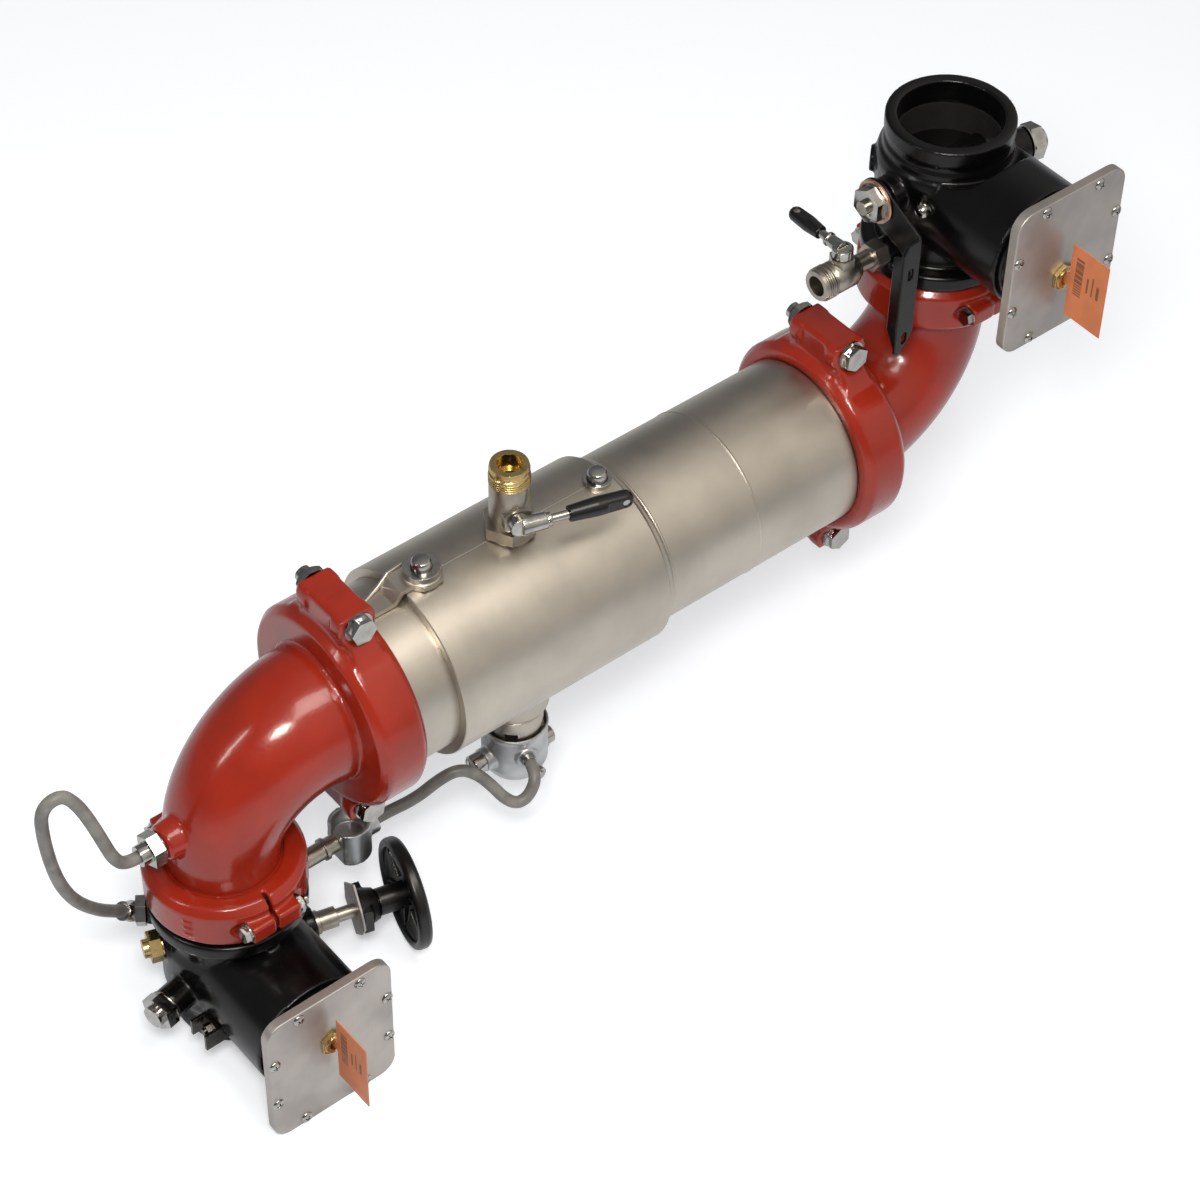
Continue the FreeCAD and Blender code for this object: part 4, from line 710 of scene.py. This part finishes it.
def add_sleeve():
    """Sleeve with a rolled end, the relief collar, the tap's pad and the second bolt's boss"""
    length = SLEEVE_END - SLEEVE_START
    r = SLEEVE_RADIUS
    foot = SLEEVE_BORE + SLEEVE_FOOT
    blend = [(foot + (r - foot) * (1 - u - 0.12 * math.sin(2 * math.pi * u)),
              length - SLEEVE_TAPER * (1 - u)) for u in (i / 12 for i in range(13))]
    outline = [(SLEEVE_BORE, 0), (r - BROKEN_EDGE, 0), (r, BROKEN_EDGE), *blend,
               (SLEEVE_BORE, length)]
    piece = turned_ring("access_sleeve_turned", outline, (SLEEVE_START, 0, BODY_HEIGHT), ALONG)
    collar = drum("collar", RELIEF_COLLAR_RADIUS, BODY_HEIGHT - RELIEF_COLLAR_Z,
                  (RELIEF_X, 0, RELIEF_COLLAR_Z), UP)
    pad = drum("pad", TAP_PAD_RADIUS, r + 1.2, (TAP_X, 0, BODY_HEIGHT), UP)
    boss = drum("boss", BOLT_BOSS_RADIUS, r + 0.6, (SECOND_BOLT_X, 0, BODY_HEIGHT), UP)
    combined(piece, [collar, pad, boss], "UNION")
    # Both cutters run past the sleeve
    bore = drum("bore", SLEEVE_BORE, length + 40, (SLEEVE_START - 20, 0, BODY_HEIGHT), ALONG)
    way = drum("way", RELIEF_WAY_RADIUS, 60, (RELIEF_X, 0, RELIEF_COLLAR_Z - 10), UP)
    combined(piece, [bore, way], "DIFFERENCE")
    smooth_by_angle(piece.data, 25)
    return seat_piece(piece, "access_sleeve")


def add_washers():
    """Copper washer behind the outlet stem's nut, and the round collar under the strap's bolt"""
    for name, profile, at, along, node, material in (
            ("stem_washer", STEM_WASHER, (701.9, 0, 534.5), ALONG, "lever_nut", copper_washer()),
            ("strap_collar", STRAP_COLLAR, (213, 0, 383), UP, "sleeve_strap",
             blasted_stainless())):
        ring = turned_ring(name, profile, at, along)
        smooth_by_angle(ring.data, 30)
        ring.data.materials.append(material)
        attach(ring, frame["nodes"][node]["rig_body"])
        slot_of(node)


def round_run(name, kind, route, radius, material):
    """Round run of one open spline through points in millimetres"""
    curve = bpy.data.curves.new(name, "CURVE")
    curve.dimensions = "3D"
    spline = curve.splines.new(kind)
    spline.points.add(len(route) - 1)
    for point, place in zip(spline.points, route):
        point.co = (*(Vector(place) * MM), 1)
    curve.bevel_depth = radius
    curve.use_fill_caps = True
    curve.materials.append(material)
    return linked(name, curve)


def add_sleeve_seam():
    """Fine longitudinal weld along the top of the sleeve, on both sides of the tap"""
    z = BODY_HEIGHT + SLEEVE_RADIUS - 0.1
    for number, ends in enumerate(SEAM_RUNS):
        seam = round_run("sleeve_seam_%d" % number, "POLY", [(x, 0, z) for x in ends], 0.3 * MM,
                         blasted_stainless())
        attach(seam, "frame")


# Hoses

def add_hose(node, route):
    """Hose on a smooth curve through the part's own route"""
    hose = round_run(node + "_run", "NURBS", route, sizes().hose_radius, finish_of(node))
    hose.data.bevel_resolution = 6
    spline = hose.data.splines[0]
    spline.order_u = 3
    spline.use_endpoint_u = True
    spline.resolution_u = 10
    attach(hose, "frame")
    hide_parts(node)


# Repeated pieces, grown on points by geometry trees

QUARTER_TURN = 1.5708
# A hexagon in units of the bolt's radius: its corners, its height, and the ball that rounds it
BOLT_HEAD = (1.55, 1.3, 2.2)
BOLT_NUT = (1.79, 1.5, 2.5)
# The bolt's end that stands past the nut: radius, length and start, in the same units
BOLT_TIP = (0.96, 0.55, 1.45)
WASHER_THICKNESS = 0.24


def new_tree(name, inputs):
    """Empty geometry tree with named inputs given as (name, socket kind)"""
    tree = bpy.data.node_groups.new(name, "GeometryNodeTree")
    tree.interface.new_socket("Geometry", in_out="INPUT", socket_type="NodeSocketGeometry")
    for label, kind in inputs:
        tree.interface.new_socket(label, in_out="INPUT", socket_type="NodeSocket" + kind)
    tree.interface.new_socket("Geometry", in_out="OUTPUT", socket_type="NodeSocketGeometry")
    return tree, tree.nodes.new("NodeGroupInput").outputs


def outward(tree, seed=None):
    """Rotation that points +Z along each point's own way, after its own turn about it"""
    way = add_node(tree, "GeometryNodeInputNamedAttribute", {"Name": "way"},
                   data_type="FLOAT_VECTOR")
    turn = add_node(tree, "FunctionNodeAlignRotationToVector", {"Vector": way}, axis="Z")
    if seed is None:
        return turn
    angle = add_node(tree, "FunctionNodeRandomValue", {2: 0.0, 3: QUARTER_TURN, "Seed": seed},
                     data_type="FLOAT")
    about = add_node(tree, "FunctionNodeAxisAngleToRotation", {
        "Axis": (0.0, 0.0, 1.0), "Angle": angle})
    return add_node(tree, "FunctionNodeRotateRotation", {"Rotation": turn, "Rotate By": about},
                    rotation_space="LOCAL")


def close_tree(tree, geometry, material):
    """Every tree ends with real geometry that carries its material"""
    real = add_node(tree, "GeometryNodeRealizeInstances", {"Geometry": geometry})
    painted = add_node(tree, "GeometryNodeSetMaterial", {"Geometry": real, "Material": material})
    add_node(tree, "NodeGroupOutput", {"Geometry": painted})
    return tree


def pan_screw_tree():
    """Pan head with a cross recess, on every point"""
    tree, given = new_tree("pan_screws", (
        ("Radius", "Float"), ("Height", "Float"), ("Cross Length", "Float"),
        ("Cross Width", "Float"), ("Material", "Material")))
    radius, height = given["Radius"], given["Height"]
    long, narrow = given["Cross Length"], given["Cross Width"]
    ball = add_node(tree, "GeometryNodeMeshUVSphere", {"Segments": 32, "Rings": 16, "Radius": 1.0})
    oval = add_node(tree, "ShaderNodeCombineXYZ", {"X": radius, "Y": radius, "Z": height})
    dome = add_node(tree, "GeometryNodeTransform", {"Geometry": ball, "Scale": oval})
    wide, low, high = (add_node(tree, "ShaderNodeMath", {0: size, 1: share}, operation="MULTIPLY")
                       for size, share in ((radius, 3.0), (radius, -1.5), (height, 0.95)))
    # A block takes off the ball's lower half, and two bars cut the cross
    cutters = []
    for x, y, z, level in ((wide, wide, wide, low), (long, narrow, height, high),
                           (narrow, long, height, high)):
        size = add_node(tree, "ShaderNodeCombineXYZ", {"X": x, "Y": y, "Z": z})
        block = add_node(tree, "GeometryNodeMeshCube", {"Size": size})
        rise = add_node(tree, "ShaderNodeCombineXYZ", {"Z": level})
        cutters.append(add_node(tree, "GeometryNodeTransform", {
            "Geometry": block, "Translation": rise}))
    head = add_node(tree, "GeometryNodeMeshBoolean", {0: dome, 1: cutters}, operation="DIFFERENCE")
    spread = add_node(tree, "GeometryNodeInstanceOnPoints", {
        "Points": given["Geometry"], "Instance": head, "Rotation": outward(tree, 7)})
    return close_tree(tree, spread, given["Material"])


def bar_mesh(tree, sides, radius, height, start):
    """Upright prism or cylinder that starts at a height"""
    bar = add_node(tree, "GeometryNodeMeshCylinder", {
        "Vertices": sides, "Radius": radius, "Depth": height})
    return add_node(tree, "GeometryNodeTransform", {
        "Geometry": bar, "Translation": (0.0, 0.0, start + height / 2)})


def hex_body(tree, corners, height, dome):
    """Hexagonal prism whose corners are taken off by a ball"""
    prism = bar_mesh(tree, 6, corners, height, 0.0)
    ball = add_node(tree, "GeometryNodeMeshUVSphere", {"Segments": 48, "Rings": 32, "Radius": dome})
    lowered = add_node(tree, "GeometryNodeTransform", {
        "Geometry": ball, "Translation": (0.0, 0.0, height - dome)})
    return add_node(tree, "GeometryNodeMeshBoolean", {1: [prism, lowered]}, operation="INTERSECT")


def track_bolt_tree():
    """Domed bolt head or nut with its bolt end, on every point, to the point's own size"""
    tree, given = new_tree("coupling_fasteners", (("Washer", "Float"), ("Material", "Material")))
    head = hex_body(tree, *BOLT_HEAD)
    nut = hex_body(tree, *BOLT_NUT)
    end = bar_mesh(tree, 40, *BOLT_TIP)
    ring = bar_mesh(tree, 48, given["Washer"], WASHER_THICKNESS, 0.0)
    is_nut, size = (add_node(tree, "GeometryNodeInputNamedAttribute", {"Name": name},
                             data_type=kind)
                    for name, kind in (("is_nut", "BOOLEAN"), ("size", "FLOAT")))
    is_head = add_node(tree, "FunctionNodeBooleanMath", {0: is_nut}, operation="NOT")
    spread = []
    for chosen, parts in ((is_head, [head, ring]), (is_nut, [nut, end, ring])):
        shape = add_node(tree, "GeometryNodeJoinGeometry", {0: parts})
        spread.append(add_node(tree, "GeometryNodeInstanceOnPoints", {
            "Points": given["Geometry"], "Selection": chosen, "Instance": shape,
            "Rotation": outward(tree, 3), "Scale": size}))
    both = add_node(tree, "GeometryNodeJoinGeometry", {0: spread})
    return close_tree(tree, both, given["Material"])


def ridge_tree():
    """Stack of thread ridges that starts at every point"""
    tree, given = new_tree("thread_ridges", (
        ("Radius", "Float"), ("Ridge", "Float"), ("Pitch", "Float"), ("Count", "Int"),
        ("Material", "Material")))
    hoop, wire = (add_node(tree, "GeometryNodeCurvePrimitiveCircle", {
        "Resolution": steps, "Radius": given[radius]})
        for steps, radius in ((72, "Radius"), (10, "Ridge")))
    ring = add_node(tree, "GeometryNodeCurveToMesh", {"Curve": hoop, "Profile Curve": wire})
    step = add_node(tree, "ShaderNodeCombineXYZ", {"Z": given["Pitch"]})
    row = add_node(tree, "GeometryNodeMeshLine", {"Count": given["Count"], "Offset": step})
    stack = add_node(tree, "GeometryNodeInstanceOnPoints", {"Points": row, "Instance": ring})
    spread = add_node(tree, "GeometryNodeInstanceOnPoints", {
        "Points": given["Geometry"], "Instance": stack, "Rotation": outward(tree)})
    return close_tree(tree, spread, given["Material"])


def point_cloud(name, places, ways, bolt_sizes=None, nuts=None):
    """Loose points with the fields that the trees read"""
    mesh = bpy.data.meshes.new(name)
    mesh.from_pydata([Vector(place) * MM for place in places], [], [])
    mesh.attributes.new("way", "FLOAT_VECTOR", "POINT")
    for item, way in zip(mesh.attributes["way"].data, ways):
        item.vector = way
    for label, kind, values in (("size", "FLOAT", bolt_sizes), ("is_nut", "BOOLEAN", nuts)):
        if values is not None:
            mesh.attributes.new(label, kind, "POINT")
            for item, value in zip(mesh.attributes[label].data, values):
                item.value = value
    return linked(name, mesh)


def grown(piece, tree, values, degrees):
    """Evaluates a tree on a piece's points and keeps the result as a plain mesh"""
    modifier = piece.modifiers.new(tree.name, "NODES")
    modifier.node_group = tree
    for item in tree.interface.items_tree:
        if item.item_type == "SOCKET" and item.in_out == "INPUT" and item.name in values:
            modifier[item.identifier] = values[item.name]
    bake_modifiers(piece)
    smooth_by_angle(piece.data, degrees)
    return piece


def add_cover_screws():
    """Pan head screws round both square covers"""
    places = [(x + side * dx, -COVER_FRONT + 0.1, z + end * dz) for x, z in COVER_CENTRES
              for dx, dz in SCREW_PLACES for side in (-1, 1) for end in (-1, 1)]
    cloud = point_cloud("cover_screw_heads", places, [(0, -1, 0)] * len(places))
    grown(cloud, pan_screw_tree(), {
        "Radius": sizes().screw_radius, "Height": 3.0 * MM, "Cross Length": 6.4 * MM,
        "Cross Width": 1.3 * MM, "Material": bright_zinc()}, 35)
    seat_piece(cloud, "cover_screws")


def add_coupling_bolts():
    """Heads and nuts of the coupling bolts, and the plug of the outlet elbow's line boss"""
    corners = [(end, side) for end in (-1, 1) for side in (-1, 1)]
    radius, half, reach = SMALL_BOLT
    spots = [((x + side * half, end * reach, z), (side, 0, 0), radius * MM, side > 0)
             for x, z in SMALL_COUPLINGS for end, side in corners]
    radius, half, reach = LARGE_BOLT
    spots += [((x, side * half, BODY_HEIGHT + end * reach), (0, side, 0), radius * MM, side > 0)
              for x in LARGE_COUPLINGS for end, side in corners]
    tree = track_bolt_tree()
    cloud = point_cloud("coupling_fasteners", *zip(*spots))
    grown(cloud, tree, {"Washer": 1.7, "Material": bright_zinc()}, 35)
    seat_piece(cloud, "coupling_bolts")
    plug = point_cloud("outlet_line_plug", [OUTLET_LINE_BOSS], [ALONG], [8 * MM], [False])
    grown(plug, tree, {"Washer": 1.6, "Material": bright_zinc()}, 35)
    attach(plug, "frame")


def cock_turned(vector):
    """Vector turned as the body cock is in plan"""
    return Matrix.Rotation(math.radians(COCK_TURN), 3, "Z") @ Vector(vector)


def add_tang_ends():
    """Bright tang end that shows in the hanging hole of each grip"""
    body_hole = cock_turned((92, -COCK_LEVER_LINE, 0)) + COCK_STEM
    for name, at, way, length, node in (
            ("body_cock_tang_end", body_hole, cock_turned((0, -1, 0)), 11.0, "body_cock_grip"),
            ("outlet_cock_tang_end", OUTLET_TANG_HOLE, Vector(UP), 9.0, "outlet_cock_grip")):
        end = drum(name, 3.5, length, at - way * length / 2, way)
        edge = end.modifiers.new("broken_edge", "BEVEL")
        edge.width = 0.6 * MM
        edge.segments = 2
        bake_modifiers(end)
        smooth_by_angle(end.data, MACHINED_ANGLE)
        end.data.materials.append(bright_zinc())
        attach(end, frame["nodes"][node]["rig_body"])


def add_thread_ridges():
    """Thread ridges under the mouths of the two test cocks"""
    tree = ridge_tree()
    x, z = OUTLET_COCK_MOUTH
    for name, at, way, radius, count, node, material in (
            ("body_cock_thread", (TAP_X, 0, BODY_COCK_TOP - 18.5), UP, 17.0, 4,
             "body_test_cock", turned_brass()),
            ("outlet_cock_thread", (x + 3.5, 0, z), ALONG, 14.6, 5,
             "outlet_test_cock", nickel_bronze())):
        cloud = point_cloud(name, [at], [way])
        grown(cloud, tree, {"Radius": radius * MM, "Ridge": 0.95 * MM, "Pitch": 2.3 * MM,
                            "Count": count, "Material": material}, 60)
        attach(cloud, frame["nodes"][node]["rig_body"])
        slot_of(node)


# Steps

# Grid in millimetres and smoothing passes of each casting; None takes the user's own setting
CASTINGS = (
    ("inlet_valve_body", 1.65, 5), ("outlet_valve_body", 1.65, 5), ("inlet_elbow", None, None),
    ("outlet_elbow", None, None), ("valve_coupling_halves", 1.3, 6),
    ("body_coupling_halves", 1.85, 5), ("outlet_lever", 0.7, 4), ("body_cock_grip", 0.6, 4),
    ("outlet_cock_grip", 0.6, 4), ("body_cock_lever", 0.5, 4), ("outlet_cock_lever", 0.5, 4),
    ("handwheel", 0.8, 5), ("wheel_collar", 0.8, 5), ("relief_cup", 0.9, 4),
    ("sensing_tee", 0.9, 4))
MACHINED = ("zinc_plugs", "inlet_brass_plug", "hose_fittings", "line_nipples", "lever_nut",
            "relief_plugs", "sleeve_bolts", "cable_bushes", "outlet_test_cock", "outlet_stem",
            "inlet_stem", "lock_clip", "sleeve_strap", "cover_plates", "relief_neck")
# Raised dashes on the inlet coupling: size, heading in degrees, and steps up and down
TICK_SIZE = (3.4, 8.5, 2.0)
TICK_HEADING = 210
TICK_STEPS = (-8, 0, 8)
# Outlines of the housings' inner edges, as (radius, distance)
FACE_RING = ((50.2, 0), (50.2, 3), (57, 3), (57, 0))
MOUTH_RING = ((62.8, 0), (62.8, 2.2), (79, 2.2), (79, 0))


def coupling_ticks():
    """Short raised dashes, one above the other, beside the inlet coupling's front bolt"""
    x, z = SMALL_COUPLINGS[0]
    turn = Matrix.Rotation(math.radians(TICK_HEADING), 4, "Z")
    out = Matrix.Translation((SMALL_HOUSING_RADIUS * MM, 0, 0))
    for step in TICK_STEPS:
        yield box_on, (TICK_SIZE, Matrix.Translation((x * MM, 0, (z + step) * MM)) @ turn @ out)


def face_rings():
    """The small housings' inner edges reach to the elbows"""
    for (x, z), way in zip(SMALL_COUPLINGS, (1, -1)):
        yield ring_on, (FACE_RING, (x, 0, z + SMALL_HALF_WIDTH * way), (0, 0, way))


def mouth_rings():
    """The large housings' outer faces reach to the elbows"""
    for x, way in zip(LARGE_COUPLINGS, (-1, 1)):
        yield ring_on, (MOUTH_RING, (x + LARGE_HALF_WIDTH * way, 0, BODY_HEIGHT), (way, 0, 0))


def paint_above(piece, material, level_mm):
    """Gives the faces above a level their own material"""
    piece.data.materials.append(material)
    last = len(piece.data.materials) - 1
    for polygon in piece.data.polygons:
        if polygon.center.z > level_mm * MM:
            polygon.material_index = last


class BACKFLOW_OT_castings(bpy.types.Operator):
    """Rounds the cast bodies, elbows and couplings and gives them their coatings"""

    bl_idname = "backflow.castings"
    bl_label = "Castings"

    def execute(self, context):
        heel = cock_turned((0, -COCK_LEVER_LINE, 0)) + COCK_STEM
        extras = {
            "inlet_elbow": [(cone_on, (*LINE_BOSS_BAR, INLET_LINE_BOSS, (-1, 0, 0))),
                            (neck_run_on, INLET_NECK)],
            "outlet_elbow": [(neck_run_on, OUTLET_NECK)],
            "valve_coupling_halves": [*coupling_ticks(), *face_rings()],
            "body_coupling_halves": mouth_rings(),
            "body_cock_lever": [(cone_on, (*LEVER_HEEL_BAR, heel, cock_turned(ALONG)))],
        }
        for node, voxel_mm, rounds in CASTINGS:
            cast_piece(node, voxel_mm, rounds, extras.get(node, ()))
        return {"FINISHED"}


class BACKFLOW_OT_machined(bpy.types.Operator):
    """Gives turned, milled and sheet pieces their broken edges and finishes"""

    bl_idname = "backflow.machined"
    bl_label = "Machined pieces"

    def execute(self, context):
        add_body_tube()
        add_sleeve()
        add_sleeve_seam()
        add_washers()
        for node in MACHINED:
            machined_piece(node)
        cock = machined_piece("body_test_cock")
        paint_above(cock, turned_brass(), BODY_COCK_TOP - 20)
        return {"FINISHED"}


class BACKFLOW_OT_repeats(bpy.types.Operator):
    """Grows screws, bolts and thread ridges where they belong"""

    bl_idname = "backflow.repeats"
    bl_label = "Repeated pieces"

    def execute(self, context):
        add_cover_screws()
        add_coupling_bolts()
        add_thread_ridges()
        add_tang_ends()
        return {"FINISHED"}


class BACKFLOW_OT_hoses(bpy.types.Operator):
    """Lays the two sensing hoses"""

    bl_idname = "backflow.hoses"
    bl_label = "Hoses"

    def execute(self, context):
        add_hose("elbow_sensing_hose", ELBOW_HOSE)
        add_hose("relief_sensing_hose", RELIEF_HOSE)
        return {"FINISHED"}


class BACKFLOW_OT_small_parts(bpy.types.Operator):
    """CAD pieces whose shape is right as it is keep their mesh and get their finish"""

    bl_idname = "backflow.small_parts"
    bl_label = "Small parts"

    def execute(self, context):
        for node, piece in sorted(frame["nodes"].items()):
            if not piece.hide_render:
                material = finish_of(node)
                for slot in piece.material_slots:
                    slot.material = material
        return {"FINISHED"}


class BACKFLOW_OT_stage(bpy.types.Operator):
    """Floor, lamps, world and camera"""

    bl_idname = "backflow.stage"
    bl_label = "Stage"

    def execute(self, context):
        add_floor()
        add_world()
        add_lamps()
        add_camera()
        context.scene.view_settings.view_transform = "Standard"
        return {"FINISHED"}


FLOOR_HALF = 20.0
FLOOR_GLOW = 0.33
# The dome's brightest way, its tones away from there and there, and how the camera sees it
SKY_WAY = (0.54, -0.47, 0.70)
SKY_DULL = (0.2, 0.2, 0.205, 1.0)
SKY_BRIGHT = (1.0, 0.95, 0.88, 1.0)
SKY_SEEN = (0.98, 0.99, 1.0, 1.0)
SKY_STRENGTH = 0.95
LAMP_TINT = (1.0, 0.95, 0.88)
# Lamps: name, place and size in metres, and power in watts
LAMPS = (("key_softbox", (-0.7, -1.2, 2.2), (0.5, 0.34), 34.0),
         ("strip_softbox", (-1.5, 0.3, 1.7), (0.12, 1.0), 8.0),
         ("band_softbox", (0.22, -0.62, 1.75), (0.7, 0.6), 11.0))
LAMP_TARGET = Vector((0.36, 0.0, 0.29))
# Place in metres, and heading, elevation and roll in degrees
CAMERA_PLACE = (-0.87297, -1.52551, 2.28485)
CAMERA_ANGLES = (-39.96, 45.87, 1.30)


def add_floor():
    """Pale paper floor; the camera sees it a little lighter than the lamps make it"""
    level = CAD_BOX[0][2]
    mesh = bpy.data.meshes.new("studio_floor")
    corners = [(x * FLOOR_HALF, y * FLOOR_HALF, level)
               for x, y in ((-1, -1), (1, -1), (1, 1), (-1, 1))]
    mesh.from_pydata(corners, [], [(0, 1, 2, 3)])
    floor = linked("studio_floor", mesh)

    def looks(tree, _):
        camera = add_node(tree, "ShaderNodeLightPath").outputs["Is Camera Ray"]
        glow = add_node(tree, "ShaderNodeMath", {0: camera, 1: FLOOR_GLOW}, operation="MULTIPLY")
        return {"Base Color": linear(colours().floor), "Roughness": 0.9,
                "Specular IOR Level": 0.1, "Emission Color": (1.0, 1.0, 1.0, 1.0),
                "Emission Strength": glow}

    mesh.materials.append(material_of("studio_floor_paper", looks))


def add_world():
    """Soft studio dome: bright overhead and to the right of the camera, dull to the back"""
    world = bpy.data.worlds.new("studio_world")
    world.use_nodes = True
    tree = world.node_tree
    tree.nodes.clear()
    way = add_node(tree, "ShaderNodeTexCoord").outputs["Generated"]
    facing = add_node(tree, "ShaderNodeVectorMath", {0: way, 1: SKY_WAY}, operation="DOT_PRODUCT")
    rise = add_node(tree, "ShaderNodeMapRange", {
        "Value": facing, "From Min": 0.35, "From Max": 1.0})
    dome = add_node(tree, "ShaderNodeMix", {0: rise, 6: SKY_DULL, 7: SKY_BRIGHT}, data_type="RGBA")
    camera = add_node(tree, "ShaderNodeLightPath").outputs["Is Camera Ray"]
    seen = add_node(tree, "ShaderNodeMix", {0: camera, 6: dome, 7: SKY_SEEN}, data_type="RGBA")
    sky = add_node(tree, "ShaderNodeBackground", {"Color": seen, "Strength": SKY_STRENGTH})
    add_node(tree, "ShaderNodeOutputWorld", {"Surface": sky})
    bpy.context.scene.world = world


def add_lamps():
    """Softboxes that draw the streaks on enamel and steel"""
    for name, place, size, power in LAMPS:
        light = bpy.data.lights.new(name, "AREA")
        light.shape = "RECTANGLE"
        light.size, light.size_y = size
        light.energy = power
        light.color = LAMP_TINT
        lamp = linked(name, light)
        lamp.location = place
        lamp.rotation_euler = (LAMP_TARGET - Vector(place)).to_track_quat("-Z", "Y").to_euler()


def add_camera():
    """Camera at the photograph's place"""
    heading, elevation, roll = (math.radians(angle) for angle in CAMERA_ANGLES)
    right = Vector((math.cos(heading), math.sin(heading), 0))
    back = Vector((math.sin(heading) * math.cos(elevation),
                   -math.cos(heading) * math.cos(elevation), math.sin(elevation)))
    up = back.cross(right)
    rolled_right = right * math.cos(roll) + up * math.sin(roll)
    rolled_up = up * math.cos(roll) - right * math.sin(roll)
    turn = Matrix((rolled_right, rolled_up, back)).transposed()
    data = bpy.data.cameras.new("photo_camera")
    data.lens = sizes().lens
    data.sensor_width = 36.0
    data.clip_end = 50.0
    camera = linked("photo_camera", data)
    camera.matrix_world = Matrix.Translation(CAMERA_PLACE) @ turn.to_4x4()
    bpy.context.scene.camera = camera


STEPS = ("castings", "machined", "repeats", "hoses", "small_parts", "stage")


class BACKFLOW_PT_panel(bpy.types.Panel):
    """Lists the steps that dress the assembly"""

    bl_idname = "BACKFLOW_PT_panel"
    bl_label = "Backflow assembly"
    bl_space_type = "VIEW_3D"
    bl_region_type = "UI"
    bl_category = "Backflow"

    def draw(self, context):
        for step in STEPS:
            self.layout.operator("backflow." + step)
        for group in (context.scene.backflow_sizes, context.scene.backflow_colours):
            for name in group.__annotations__:
                self.layout.prop(group, name)


CLASSES = (BackflowSizes, BackflowColours, BACKFLOW_OT_castings, BACKFLOW_OT_machined,
           BACKFLOW_OT_repeats, BACKFLOW_OT_hoses, BACKFLOW_OT_small_parts, BACKFLOW_OT_stage,
           BACKFLOW_PT_panel)


def register():
    for cls in CLASSES:
        bpy.utils.register_class(cls)
    bpy.types.Scene.backflow_sizes = PointerProperty(type=BackflowSizes)
    bpy.types.Scene.backflow_colours = PointerProperty(type=BackflowColours)


def unregister():
    del bpy.types.Scene.backflow_colours
    del bpy.types.Scene.backflow_sizes
    for cls in reversed(CLASSES):
        bpy.utils.unregister_class(cls)


def main():
    register()
    for step in STEPS:
        getattr(bpy.ops.backflow, step)()
    bpy.context.view_layer.update()


if __name__ == "__main__":
    main()
